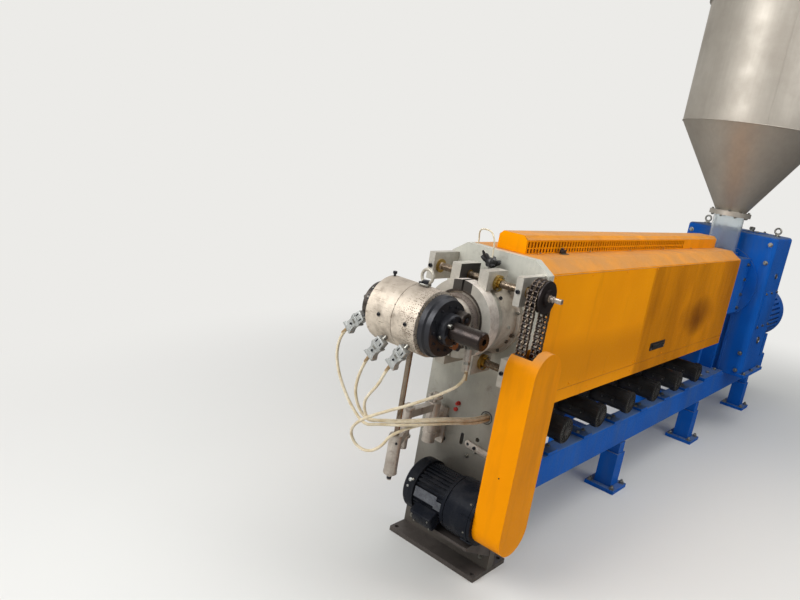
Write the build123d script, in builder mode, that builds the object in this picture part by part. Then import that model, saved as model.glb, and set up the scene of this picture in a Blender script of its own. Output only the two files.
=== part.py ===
from build123d import *
import math
import os

# Cable extrusion machine, modelled in millimetres with +Z up.
# X runs along the cable line, +X towards the side where the cable enters.
# Y runs along the barrel, from the crosshead (low) to the gearbox (high).
# While modelling, the origin is on the floor under the crosshead's centre.

# Lines that everything is set out from
line_height = 1000.0          # cable line and barrel axis above the floor
running_fit = 0.05            # radial clearance of a shaft that turns in its bore
seat_gap = 0.3                # clearance between curved or gripping faces at rest

# Front plate
plate_front = 350.0           # distance of the plate's front face from the cable line
plate_thickness = 40.0
plate_half_width = 216.0
plate_rise = 244.0            # top edge above the barrel axis
plate_shoulder_rise = 200.0   # where the sloped shoulders start, above the axis
plate_top_half = 151.0
plate_foot_height = 20.0
plate_foot_length = 90.0
cable_hole_radius = 18.0
cable_hole_x = 82.0
cable_hole_drop = 392.0
slot_x = -10.0
slot_drop = 517.0
slot_width = 16.0
slot_length = 50.0
small_hole_radius = 9.0
small_holes = ((62.0, 493.0), (-94.0, 459.0), (-94.0, 551.0))    # across, and down from the axis

# Barrel, its head and the neck flange that the clamp holds
barrel_radius = 82.0
drum_radius = 135.0
drum_flat = 116.0             # flats above and below, over which the clamp ears slide
drum_front = 212.0
drum_flange_radius = 150.0
drum_flange_thickness = 18.0
grip_radius = 118.0           # flanges that the clamp rings hold together
grip_thickness = 16.0
waist_radius = 92.0           # between the barrel's gripped flange and the drum
neck_radius = 84.0

# Clamp halves
clamp_front = 150.0
clamp_lip = 12.0
lip_radius = 100.0
ring_radius = 142.0
half_gap = 4.1                # each half stops this far from the middle plane
ear_inner = 40.0
ear_width = 40.0
ear_front = 178.0
ear_back = 300.0
ear_rise = 190.0
ear_floor = 122.0

# Lead screws, nuts and bearing blocks
screw_y = 242.0
screw_radius = 14.0
thread_lead = 12.0
nut_radius = 19.0
nut_flange_radius = 29.0
nut_flange_thickness = 12.0
nut_overhang = 8.0
block_start = 180.0
block_width = 26.5
block_front = 200.0
block_half_height = 51.5
bush_radius = 20.0
bush_flange_radius = 26.0
bush_flange_thickness = 6.0
collar_radius = 21.0
collar_width = 12.0
collar_play = 1.0
square_start = 300.0
square_end = 340.0
square_side = 16.0
end_radius = 11.0

# Roller chain and its wheels
chain_pitch = 19.05
wheel_teeth = 17
chain_links = 48
strand_spacing = 19.46
chain_centre_x = 257.0
roller_radius = 6.04
tooth_width = 10.8
plate_play = 0.35
link_plate = 1.8
link_height = 16.0
link_waist = 11.0
pin_radius = 2.86
pin_overhang = 1.6
tip_radius = 56.6
wheel_core_radius = 40.0
hub_radius = 30.0
hub_length = 22.0
wheel_disc_start = 279.5
wheel_disc_thickness = 6.0
wheel_disc_radius = 57.5

# Chain guard
guard_inner = 229.0
guard_width = 119.0
guard_radius = 90.0
guard_top_rise = -123.0       # centre of the round top, from the barrel axis
guard_wall = 2.0
guard_cut_rise = -60.0        # level where the inner part is cut open for the chain
guard_closed_width = 36.0
guard_screw_clearance = 6.0

# Clamp motor
motor_height = 290.0
motor_radius = 98.0
motor_length = 150.0
motor_cowl_radius = 106.0
motor_cowl_length = 52.0
gearhead_radius = 108.0
gearhead_length = 126.0
motor_fin_count = 36
motor_fin_depth = 9.0
motor_box_size = (96.0, 62.0, 46.0)
motor_box_tilt = 30.0
shelf_thickness = 12.0
shelf_front = 168.0
shelf_left = -20.0
shelf_right = 214.0
shelf_rib = 90.0

# Crosshead, turned about the cable line
head_bore = 14.0
head_radius = 100.0
head_left = -200.0
head_right = 30.0
band_thickness = 15.6
band_left = -196.0
band_right = 25.0
band_split = -78.0
band_gap = 2.0
band_seam = 3.0
band_seam_turn = -25.0
boss_radius = 62.0
boss_reach = 122.0
nose_radius = 83.0
nose_length = 50.0
die_radius = 46.0
die_length = 12.0
die_bore = 9.0
rim_radius = 108.0
rim_length = 28.0
disc_radius = 98.0
disc_length = 17.0
core_collar_radius = 55.0
core_collar_length = 27.0
core_tube_radius = 32.0
core_tube_end = 225.0
core_bore = 11.0
core_chamfer = 4.0
neck_band_thickness = 10.0
neck_band_length = 24.0
eye_x = -45.0
eye_ring_radius = 24.0
eye_wire = 5.5
eye_turn = 40.0

# Swing arm that carries the crosshead
rod_x = -63.0
rod_radius = 10.0
rod_low = line_height - 440.0
sleeve_radius = 24.0
sleeve_low = line_height - 595.0
tip_low = line_height - 618.0
tip_radius_low = 8.0
hinge_x = -125.0
hinge_y = plate_front - 62.0
hinge_radius = 26.0
hinge_low = line_height - 560.0
hinge_high = line_height - 428.0
hinge_bracket_half = 32.0
middle_x = -124.0
middle_y = 125.0
middle_radius = 18.0
link_depth = 38.0
arm_half_width = 15.0
arm_low = line_height - 495.0
arm_high = line_height - 455.0
pin_play = 0.3

# Heater plugs and their leads
plug_size = (40.0, 24.0, 74.0)
lead_diameter = 8.0
sensor_x = 2.0
sensor_y = 300.0
sensor_stem_radius = 9.0
sensor_stem_height = 74.0
sensor_head_radius = 22.0
sensor_head_height = 30.0
sensor_cable_diameter = 6.0

# Barrel cover, on the plate's outline
cover_start = plate_front + plate_thickness
cover_end = 2700.0
sheet = 2.5
cover_panel_split = 1359.0
cover_bottom = line_height - 328.0
sill_top = line_height - 275.0
panel_gap = 2.0
vent_half_width = 62.0
vent_rise = 68.0
vent_bevel = 16.0
vent_start = cover_start + 30.0
vent_end = cover_end - 50.0

# Barrel jackets, blowers and pedestals
jacket_count = 6
jacket_first = cover_start + 220.0
jacket_last = cover_end - 140.0
jacket_gap = 30.0
jacket_half = 135.0
blower_height = line_height - 480.0
blower_wheel_radius = 95.0
blower_case_width = 70.0
blower_duct = 80.0
blower_motor_radius = 52.0
blower_motor_end = 226.0
blower_cap_radius = 55.0
blower_cap_length = 28.0
strip_length = 80.0
strip_thickness = 12.0
saddle_half = 30.0
saddle_high = blower_height - 70.0

# Base frame
beam_half_gap = 110.0
beam_width = 80.0
beam_low = 260.0
beam_high = 400.0
beam_round = 10.0

trestle_inset = 340.0
trestle_pitch = 1150.0
trestle_bar_height = 60.0
leg_side = 90.0
foot_side = 160.0
foot_thickness = 20.0
anchor_hole_radius = 9.0
anchor_inset = 20.0

# Feed throat, hopper, gearbox and main motor
throat_start = cover_end + 2.0
throat_end = throat_start + 408.0
throat_half = 170.0
throat_low = line_height - 170.0
throat_high = line_height + 190.0
throat_leg_half = 120.0
throat_leg_thickness = 40.0
throat_leg_inset = 20.0
feed_opening_radius = 60.0
hopper_y = throat_start + 298.0
window_radius = 92.0
window_wall = 6.0
window_high = line_height + 440.0
hopper_flange_radius = 125.0
hopper_flange_thickness = 28.0
feed_collar_radius = 108.0
feed_collar_height = 24.0
hopper_radius = 420.0
hopper_wall = 4.0
cone_high = line_height + 990.0
hopper_high = line_height + 1720.0
lid_overhang = 12.0
lid_rise = 60.0
gearbox_start = throat_end + 20.0
gearbox_end = gearbox_start + 430.0
gearbox_half = 290.0
gearbox_low = beam_high + 20.0
gearbox_high = line_height + 350.0
gearbox_round = 40.0
gearbox_foot_half = 320.0
bell_radius = 245.0
rib_thickness = 16.0
rib_depth = 24.0
drive_height = line_height - 300.0
drive_radius = 210.0
drive_adaptor_radius = 170.0
drive_start = gearbox_end + 80.0
drive_end = drive_start + 600.0
drive_cowl_length = 130.0
drive_fin_count = 36
drive_fin_depth = 16.0
drive_mount_half = 170.0
drive_mount_length = 80.0
drive_mount_high = drive_height - 130.0
drive_mount_places = (drive_start + 160.0, drive_end - 160.0)

# Levels and places worked out from the sizes above
barrel_end = throat_end - 50.0
base_end = drive_end - 40.0
trestle_places = tuple(base_end - trestle_inset - trestle_pitch * i for i in (2, 1, 0))
pitch_radius = chain_pitch / (2 * math.sin(math.pi / wheel_teeth))
screw_rise = chain_pitch * (chain_links - wheel_teeth) / 4
screw_levels = (line_height + screw_rise, line_height - screw_rise)
clamp_back = clamp_front + 2 * clamp_lip + 2 * grip_thickness + 2 * seat_gap
block_outer = block_start + block_width
plate_top = line_height + plate_rise
plate_back = plate_front + plate_thickness
guard_top_centre = line_height + guard_top_rise
jacket_pitch = (jacket_last - jacket_first + jacket_gap) / jacket_count
jacket_length = jacket_pitch - jacket_gap
jacket_places = tuple(jacket_first + jacket_pitch * i + jacket_length / 2 for i in range(jacket_count))

line_axis = Axis((0, 0, line_height), (1, 0, 0))
barrel_axis = Axis((0, 0, line_height), (0, 1, 0))
along_x = (0, 90, 0)
along_y = (-90, 0, 0)
from_start = (Align.CENTER, Align.CENTER, Align.MIN)

os.makedirs("parts", exist_ok=True)


finished = {}                 # every piece by its name
cords = {}                    # the cords among them, which the outline leaves out


def save(piece, name):
    """Keep a finished piece under its name."""
    finished[name] = piece.part


def turn(points, axis):
    """Revolve a closed half section, drawn level with the barrel axis."""
    with BuildSketch(Plane.XY.offset(line_height)) as half_section:
        with BuildLine():
            Polyline(*points, close=True)
        make_face()
    revolve(half_section.sketch, axis=axis)


def rod_along_x(start, length, radius, y, z, mode=Mode.ADD):
    """Add or cut a round bar that runs along X."""
    with Locations((start, y, z)):
        Cylinder(radius, length, rotation=along_x, align=from_start, mode=mode)


def rod_along_y(start, length, radius, x, z, mode=Mode.ADD):
    """Add or cut a round bar that runs along Y."""
    with Locations((x, start, z)):
        Cylinder(radius, length, rotation=along_y, align=from_start, mode=mode)


def rod_upright(low, high, radius, x, y, mode=Mode.ADD):
    """Add or cut an upright round bar between two levels."""
    with Locations((x, y, low)):
        Cylinder(radius, high - low, align=from_start, mode=mode)


def block(low, high, mode=Mode.ADD):
    """Add or cut a block between two opposite corners."""
    middle = tuple((a + b) / 2 for a, b in zip(low, high))
    with Locations(middle):
        Box(*[b - a for a, b in zip(low, high)], mode=mode)


# Front plate: a thick steel plate with sloped shoulders, a cable hole and a slot
with BuildPart() as front_plate:
    with BuildSketch(Plane.XZ.offset(-plate_front)) as outline:
        with BuildLine():
            Polyline(
                (-plate_half_width, plate_foot_height),
                (plate_half_width, plate_foot_height),
                (plate_half_width, line_height + plate_shoulder_rise),
                (plate_top_half, plate_top),
                (-plate_top_half, plate_top),
                (-plate_half_width, line_height + plate_shoulder_rise),
                close=True,
            )
        make_face()
        with Locations((0, line_height)):
            Circle(barrel_radius + seat_gap, mode=Mode.SUBTRACT)
        with Locations((cable_hole_x, line_height - cable_hole_drop)):
            Circle(cable_hole_radius, mode=Mode.SUBTRACT)
        with Locations((slot_x, line_height - slot_drop)):
            SlotOverall(slot_length, slot_width, rotation=90, mode=Mode.SUBTRACT)
        with Locations([(x, line_height - drop) for x, drop in small_holes]):
            Circle(small_hole_radius, mode=Mode.SUBTRACT)
    extrude(amount=-plate_thickness)
save(front_plate, "front_plate")

with BuildPart() as plate_foot:
    block((-plate_half_width, plate_front - plate_foot_length, 0),
          (plate_half_width, plate_back + plate_foot_length, plate_foot_height))
    for side in (-1, 1):
        for y in (plate_front - plate_foot_length + anchor_inset,
                  plate_back + plate_foot_length - anchor_inset):
            rod_upright(0, plate_foot_height, anchor_hole_radius, side * (plate_half_width - anchor_inset), y,
                        mode=Mode.SUBTRACT)
save(plate_foot, "plate_foot")

# Barrel: a plain tube closed at the front by the neck, its gripped flange and waist
grip_start = clamp_front + clamp_lip + grip_thickness + seat_gap
with BuildPart() as barrel:
    turn([
        (0, grip_start),
        (grip_radius, grip_start),
        (grip_radius, grip_start + grip_thickness),
        (waist_radius, grip_start + grip_thickness),
        (waist_radius, drum_front - seat_gap),
        (barrel_radius, drum_front - seat_gap),
        (barrel_radius, barrel_end),
        (0, barrel_end),
    ], barrel_axis)
save(barrel, "barrel")

with BuildPart() as barrel_head:
    rod_along_y(drum_front, plate_front - drum_flange_thickness - drum_front, drum_radius, 0, line_height)
    for side in (-1, 1):
        edge = sorted((line_height + side * drum_flat, line_height + side * (drum_radius + 1)))
        block((-drum_radius, drum_front, edge[0]),
              (drum_radius, plate_front - drum_flange_thickness, edge[1]), mode=Mode.SUBTRACT)
    rod_along_y(plate_front - drum_flange_thickness, drum_flange_thickness, drum_flange_radius,
                0, line_height)
    rod_along_y(drum_front, plate_front - drum_front, barrel_radius + seat_gap, 0, line_height,
                mode=Mode.SUBTRACT)
save(barrel_head, "barrel_head")

# Neck between the crosshead and the barrel, with its own gripped flange
neck_back = clamp_front + clamp_lip + grip_thickness
with BuildPart() as crosshead_neck:
    turn([
        (0, boss_reach),
        (boss_radius + 8, boss_reach),
        (neck_radius, boss_reach + 14),
        (neck_radius, neck_back - grip_thickness),
        (grip_radius, neck_back - grip_thickness),
        (grip_radius, neck_back),
        (0, neck_back),
    ], barrel_axis)
save(crosshead_neck, "crosshead_neck")

# Clamp halves: half rings with a groove for both flanges, and an ear above and below
for side, name in ((1, "clamp_half_right"), (-1, "clamp_half_left")):
    with BuildPart() as clamp_half:
        turn([
            (lip_radius, clamp_front),
            (ring_radius, clamp_front),
            (ring_radius, clamp_back),
            (lip_radius, clamp_back),
            (lip_radius, clamp_back - clamp_lip),
            (grip_radius + 1, clamp_back - clamp_lip),
            (grip_radius + 1, clamp_front + clamp_lip),
            (lip_radius, clamp_front + clamp_lip),
        ], barrel_axis)
        for level in (-1, 1):
            ear_side = sorted((side * ear_inner, side * (ear_inner + ear_width)))
            foot = sorted((line_height + level * ear_floor, line_height + level * ear_rise))
            block((ear_side[0], ear_front, foot[0]), (ear_side[1], ear_back, foot[1]))
            web = sorted((line_height + level * (grip_radius + 1), line_height + level * ear_rise))
            block((ear_side[0], ear_front, web[0]), (ear_side[1], clamp_back, web[1]))
        away = sorted((-side * (ring_radius + 1), side * half_gap))
        block((away[0], clamp_front - 1, line_height - ear_rise - 1),
              (away[1], ear_back + 1, line_height + ear_rise + 1), mode=Mode.SUBTRACT)
        for level in screw_levels:
            rod_along_x(-ring_radius, 2 * ring_radius, nut_radius, screw_y, level, mode=Mode.SUBTRACT)
    save(clamp_half, name)

    with BuildPart() as nuts:
        for level in screw_levels:
            ear_outer = ear_inner + ear_width
            flange_start = ear_outer if side > 0 else -ear_outer - nut_flange_thickness
            nut_end = ear_outer + nut_flange_thickness + nut_overhang
            body_start = ear_inner if side > 0 else -nut_end
            rod_along_x(flange_start, nut_flange_thickness, nut_flange_radius, screw_y, level)
            rod_along_x(body_start, nut_end - ear_inner, nut_radius, screw_y, level)
            rod_along_x(-nut_end, 2 * nut_end, screw_radius + running_fit, screw_y, level, mode=Mode.SUBTRACT)
    save(nuts, "screw_nuts_right" if side > 0 else "screw_nuts_left")

# Bearing blocks on the plate, each bored for a bronze bush
with BuildPart() as bearing_blocks:
    for level in screw_levels:
        for side in (-1, 1):
            inner, outer = sorted((side * block_start, side * block_outer))
            block((inner, block_front, level - block_half_height),
                  (outer, plate_front, level + block_half_height))
        rod_along_x(-block_outer - 1, 2 * block_outer + 2, bush_radius, screw_y, level, mode=Mode.SUBTRACT)
save(bearing_blocks, "bearing_blocks")

with BuildPart() as screw_bushes:
    for level in screw_levels:
        for side in (-1, 1):
            inner, outer = sorted((side * block_start, side * block_outer))
            flange_start = inner - bush_flange_thickness if side > 0 else outer
            rod_along_x(inner, block_width, bush_radius, screw_y, level)
            rod_along_x(flange_start, bush_flange_thickness, bush_flange_radius, screw_y, level)
        rod_along_x(-block_outer - 1, 2 * block_outer + 2, screw_radius + running_fit, screw_y, level,
                    mode=Mode.SUBTRACT)
save(screw_bushes, "screw_bushes")

# Lead screws: a round bar with an end collar, and a turned end beyond the wheel
collar_start = -block_outer - collar_play - collar_width
wheel_inner = chain_centre_x - strand_spacing / 2 - tooth_width / 2
wheel_outer = chain_centre_x + strand_spacing / 2 + tooth_width / 2
screw_seat_end = wheel_outer + hub_length
for level, word in zip(screw_levels, ("upper", "lower")):
    with BuildPart() as lead_screw:
        rod_along_x(collar_start, screw_seat_end - collar_start, screw_radius, screw_y, level)
        rod_along_x(collar_start, collar_width, collar_radius, screw_y, level)
        if word == "upper":
            rod_along_x(screw_seat_end, square_start - screw_seat_end, end_radius, screw_y, level)
            block((square_start, screw_y - square_side / 2, level - square_side / 2),
                  (square_end, screw_y + square_side / 2, level + square_side / 2))
    save(lead_screw, f"lead_screw_{word}")


def wheel_profile(radius_root):
    """Outline of one toothed ring, one tooth gap at a time, as points round the circle."""
    points = []
    step = 2 * math.pi / wheel_teeth
    for tooth in range(wheel_teeth):
        middle = math.pi - tooth * step
        for share, radius in ((0.0, radius_root), (0.2, radius_root + 1.6), (0.4, tip_radius - 2),
                              (0.5, tip_radius), (0.6, tip_radius - 2), (0.8, radius_root + 1.6)):
            angle = middle - share * step
            points.append((radius * math.cos(angle), radius * math.sin(angle)))
    return points


root_radius = pitch_radius - roller_radius
for level, word, facing in ((screw_levels[0], "upper", 1), (screw_levels[1], "lower", -1)):
    with BuildPart() as chain_wheel:
        for strand in (-1, 1):
            ring_start = chain_centre_x + strand * strand_spacing / 2 - tooth_width / 2
            ring_plane = Plane(origin=(ring_start, screw_y, level), x_dir=(0, facing, 0), z_dir=(1, 0, 0))
            with BuildSketch(ring_plane):
                with BuildLine():
                    Polyline(*wheel_profile(root_radius), close=True)
                make_face()
            extrude(amount=tooth_width)
        rod_along_x(wheel_inner, wheel_outer - wheel_inner, wheel_core_radius, screw_y, level)
        rod_along_x(wheel_outer, hub_length, hub_radius, screw_y, level)
        rod_along_x(wheel_disc_start, wheel_disc_thickness, wheel_disc_radius, screw_y, level)
        rod_along_x(wheel_inner, screw_seat_end - wheel_inner, screw_radius, screw_y, level,
                    mode=Mode.SUBTRACT)
    save(chain_wheel, f"chain_wheel_{word}")


def chain_point(count, offset):
    """Point on the chain loop after a number of pitches, offset outwards, as (y, z)."""
    run = (chain_links - wheel_teeth) / 2
    wrap = wheel_teeth / 2
    step = 2 * math.pi / wheel_teeth
    radius = pitch_radius + offset
    if count <= wrap:
        angle = math.pi - count * step
        return (screw_y + radius * math.cos(angle), screw_levels[0] + radius * math.sin(angle))
    if count <= wrap + run:
        return (screw_y + radius, screw_levels[0] - (count - wrap) * chain_pitch)
    if count <= 2 * wrap + run:
        angle = -(count - wrap - run) * step
        return (screw_y + radius * math.cos(angle), screw_levels[1] + radius * math.sin(angle))
    return (screw_y - radius, screw_levels[1] + (count - 2 * wrap - run) * chain_pitch)


# Roller chain, one fixed loop: bands of link plates beside the teeth, pins on the straight runs
with BuildPart() as screw_chain:
    strand_edge = tooth_width / 2 + plate_play
    centre_edge = strand_spacing / 2 - strand_edge
    outer_edge = strand_spacing / 2 + strand_edge
    bands = ((-outer_edge - 2 * link_plate, -outer_edge), (-centre_edge, centre_edge),
             (outer_edge, outer_edge + 2 * link_plate))
    for low, high in bands:
        with BuildSketch(Plane.YZ.offset(chain_centre_x + low)):
            with BuildLine():
                Polyline(*[
                    chain_point(half / 2, (link_height if half % 2 == 0 else link_waist) / 2)
                    for half in range(2 * chain_links)
                ], close=True)
            make_face()
            with BuildLine():
                Polyline(*[
                    chain_point(half / 2, -(link_height if half % 2 == 0 else link_waist) / 2)
                    for half in range(2 * chain_links)
                ], close=True)
            make_face(mode=Mode.SUBTRACT)
        extrude(amount=high - low)
    pin_reach = outer_edge + 2 * link_plate + pin_overhang
    first_free = math.ceil(wheel_teeth / 2) + 2
    last_free = math.floor(chain_links / 2) - 2
    for count in [*range(first_free, last_free + 1), *range(first_free + chain_links // 2, chain_links - 1)]:
        y, z = chain_point(count, 0)
        rod_along_x(chain_centre_x - pin_reach, 2 * pin_reach, pin_radius, y, z)
save(screw_chain, "screw_chain")

# Chain guard: a round-ended sheet box, its inner part cut open at the top for the chain
guard_outer = guard_inner + guard_width


def guard_outline(radius):
    """Round-ended outline from the motor's axis to above the lower screw."""
    span = guard_top_centre - motor_height
    with Locations((screw_y, (guard_top_centre + motor_height) / 2)):
        SlotOverall(span + 2 * radius, 2 * radius, rotation=90)


with BuildPart() as chain_guard:
    with BuildSketch(Plane.YZ.offset(guard_inner)) as guard_face:
        guard_outline(guard_radius)
    extrude(guard_face.sketch, amount=guard_width)
    with BuildSketch(Plane.YZ.offset(guard_inner + guard_wall)) as guard_hollow:
        guard_outline(guard_radius - guard_wall)
    extrude(guard_hollow.sketch, amount=guard_width - 2 * guard_wall, mode=Mode.SUBTRACT)
    block((guard_inner - 1, screw_y - guard_radius - 1, line_height + guard_cut_rise),
          (guard_outer - guard_closed_width, screw_y + guard_radius + 1, guard_top_centre + guard_radius + 1),
          mode=Mode.SUBTRACT)
    rod_along_x(guard_inner - 1, guard_wall + 2, collar_radius + guard_screw_clearance, screw_y,
                screw_levels[1], mode=Mode.SUBTRACT)
save(chain_guard, "chain_guard")

# Clamp motor on its shelf, with the gearhead bolted to the guard
gearhead_start = guard_inner - gearhead_length
motor_start = gearhead_start - motor_length
with BuildPart() as clamp_motor:
    with BuildSketch(Plane.YZ.offset(motor_start)):
        with Locations((screw_y, motor_height)):
            Circle(motor_radius)
            with PolarLocations(motor_radius, motor_fin_count):
                Rectangle(motor_fin_depth * 2, motor_fin_depth, mode=Mode.SUBTRACT)
    extrude(amount=motor_length)
save(clamp_motor, "clamp_motor")

with BuildPart() as clamp_motor_cowl:
    cowl_start = motor_start - motor_cowl_length
    rod_along_x(cowl_start, motor_cowl_length, motor_cowl_radius, screw_y, motor_height)
    rounded = clamp_motor_cowl.faces().sort_by(Axis.X)[0].edges()
    fillet(rounded, 14)
save(clamp_motor_cowl, "clamp_motor_cowl")

with BuildPart() as clamp_gearhead:
    rod_along_x(gearhead_start, gearhead_length, gearhead_radius, screw_y, motor_height)
    fillet(clamp_gearhead.faces().sort_by(Axis.X)[0].edges(), 10)
save(clamp_gearhead, "clamp_gearhead")

with BuildPart() as clamp_motor_box:
    box_reach = motor_radius + motor_box_size[2] / 2
    tilt = math.radians(motor_box_tilt)
    box_plane = Plane(
        origin=(motor_start + motor_length / 2, screw_y - box_reach * math.cos(tilt),
                motor_height - box_reach * math.sin(tilt)),
        x_dir=(1, 0, 0), z_dir=(0, -math.cos(tilt), -math.sin(tilt)))
    with Locations(box_plane):
        Box(*motor_box_size)
    fillet(clamp_motor_box.faces().sort_by(Axis((0, 0, 0), tuple(box_plane.z_dir)))[-1].edges(), 6)
save(clamp_motor_box, "clamp_motor_box")

with BuildPart() as motor_shelf:
    shelf_top = motor_height - gearhead_radius
    block((shelf_left, shelf_front, shelf_top - shelf_thickness), (shelf_right, plate_front, shelf_top))
    for x in (shelf_left, shelf_right - shelf_thickness):
        with BuildSketch(Plane.YZ.offset(x)) as rib:
            with BuildLine():
                Polyline((plate_front, shelf_top - shelf_thickness),
                         (shelf_front, shelf_top - shelf_thickness),
                         (plate_front, shelf_top - shelf_thickness - shelf_rib), close=True)
            make_face()
        extrude(rib.sketch, amount=shelf_thickness)
save(motor_shelf, "motor_shelf")

# Crosshead, turned about the cable line, with a boss towards the barrel
with BuildPart() as crosshead_body:
    turn([(head_left, head_bore), (head_left, head_radius),
          (head_right, head_radius), (head_right, head_bore)], line_axis)
    rod_along_y(0, boss_reach, boss_radius, 0, line_height)
    block((head_right, -1, line_height - rim_radius),
          (rim_radius, rim_radius + seat_gap, line_height + rim_radius), mode=Mode.SUBTRACT)
    rod_along_x(head_left - 1, head_right - head_left + 2, head_bore, 0, line_height, mode=Mode.SUBTRACT)
save(crosshead_body, "crosshead_body")

band_inner = head_radius + seat_gap
band_outer = band_inner + band_thickness
with BuildPart() as heater_bands:
    for start, end in ((band_left, band_split - band_gap / 2), (band_split + band_gap / 2, band_right)):
        turn([(start, band_inner), (start, band_outer), (end, band_outer), (end, band_inner)], line_axis)
    rod_along_y(0, band_outer + 1, boss_radius + seat_gap, 0, line_height, mode=Mode.SUBTRACT)
    seam_place = Pos((band_left + band_right) / 2, -(band_inner + band_outer) / 2, 0)
    with Locations(Location((0, 0, line_height), (band_seam_turn, 0, 0)) * seam_place):
        Box(band_right - band_left + 2, band_thickness + 4, band_seam, mode=Mode.SUBTRACT)
    neck_band_start = clamp_front - seat_gap * 10 - neck_band_length
    turn([
        (neck_radius + seat_gap, neck_band_start),
        (neck_radius + neck_band_thickness, neck_band_start),
        (neck_radius + neck_band_thickness, neck_band_start + neck_band_length),
        (neck_radius + seat_gap, neck_band_start + neck_band_length),
    ], barrel_axis)
save(heater_bands, "heater_bands")

with BuildPart() as nose_ring:
    turn([
        (head_left - nose_length - die_length, die_bore),
        (head_left - nose_length - die_length, die_radius - 4),
        (head_left - nose_length - die_length + 4, die_radius),
        (head_left - nose_length, die_radius),
        (head_left - nose_length, nose_radius - 5),
        (head_left - nose_length + 5, nose_radius),
        (head_left, nose_radius),
        (head_left, die_bore),
    ], line_axis)
save(nose_ring, "nose_ring")

core_flange_end = head_right + rim_length + disc_length
with BuildPart() as core_flange:
    turn([
        (head_right, core_tube_radius + seat_gap),
        (head_right, rim_radius - 3),
        (head_right + 3, rim_radius),
        (head_right + rim_length - 6, rim_radius),
        (head_right + rim_length, disc_radius + 4),
        (core_flange_end, disc_radius),
        (core_flange_end, core_collar_radius),
        (core_flange_end + core_collar_length - 5, core_collar_radius),
        (core_flange_end + core_collar_length, core_collar_radius - 5),
        (core_flange_end + core_collar_length, core_tube_radius + seat_gap),
    ], line_axis)
save(core_flange, "core_flange")

with BuildPart() as core_tube:
    turn([
        (head_right, core_bore),
        (head_right, core_tube_radius),
        (core_tube_end - core_chamfer, core_tube_radius),
        (core_tube_end, core_tube_radius - core_chamfer),
        (core_tube_end, core_bore),
    ], line_axis)
save(core_tube, "core_tube")

eye_base = line_height + band_outer + seat_gap
with BuildPart() as eyebolt:
    rod_upright(eye_base, eye_base + 8, 15, eye_x, 0)
    rod_upright(eye_base + 8, eye_base + 14, 9, eye_x, 0)
    with Locations(Location((eye_x, 0, eye_base + 10 + eye_ring_radius), (90, 0, eye_turn))):
        Torus(eye_ring_radius, eye_wire)
save(eyebolt, "eyebolt")

# Swing arm: hinge bracket on the plate, two links, sleeve and rod under the crosshead
with BuildPart() as arm_bracket:
    rod_upright(hinge_low, hinge_high, hinge_radius, hinge_x, hinge_y)
    block((hinge_x - hinge_bracket_half, plate_front - 12, hinge_low - 10),
          (hinge_x + hinge_bracket_half, plate_front, hinge_high + 10))
    block((hinge_x - hinge_radius * 0.6, hinge_y, hinge_low + 12),
          (hinge_x + hinge_radius * 0.6, plate_front - 6, hinge_high - 12))
    rod_upright(hinge_high, hinge_high + link_depth + 10, middle_radius / 2, hinge_x, hinge_y)
save(arm_bracket, "arm_bracket")

link_low = hinge_high + pin_play
with BuildPart() as swing_links:
    rod_upright(link_low, link_low + link_depth, hinge_radius, hinge_x, hinge_y)
    rod_upright(link_low, link_low + link_depth, middle_radius, middle_x, middle_y)
    block((hinge_x - arm_half_width, middle_y, link_low + 4),
          (hinge_x + arm_half_width, hinge_y, link_low + link_depth - 4))
    rod_upright(link_low, link_low + link_depth, middle_radius / 2 + running_fit, hinge_x, hinge_y,
                mode=Mode.SUBTRACT)
    rod_upright(hinge_low + 12, link_low - pin_play, middle_radius, middle_x, middle_y)
    arm_span = math.hypot(rod_x - middle_x, -middle_y)
    arm_plane = Plane(origin=(middle_x, middle_y, arm_low),
                      x_dir=((rod_x - middle_x) / arm_span, -middle_y / arm_span, 0), z_dir=(0, 0, 1))
    with BuildSketch(arm_plane) as arm_top:
        with Locations((arm_span / 2, 0)):
            Rectangle(arm_span, 2 * arm_half_width)
    extrude(arm_top.sketch, amount=arm_high - arm_low)
    rod_upright(arm_low - 1, arm_high + 1, sleeve_radius + seat_gap, rod_x, 0, mode=Mode.SUBTRACT)
save(swing_links, "swing_links")

with BuildPart() as support_sleeve:
    rod_upright(sleeve_low, rod_low, sleeve_radius, rod_x, 0)
    fillet(support_sleeve.faces().sort_by(Axis.Z)[0].edges(), 4)
    rod_upright(tip_low, sleeve_low + 1, tip_radius_low, rod_x, 0)
save(support_sleeve, "support_sleeve")

with BuildPart() as support_rod:
    rod_upright(rod_low, line_height - head_radius - band_thickness - 2 * seat_gap, rod_radius, rod_x, 0)
save(support_rod, "support_rod")


def unit(vector):
    """Same direction, length one."""
    return Vector(*vector).normalized()


def from_line(x, y, rise):
    """Point given by its rise above the cable line."""
    return (x, y, line_height + rise)


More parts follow.
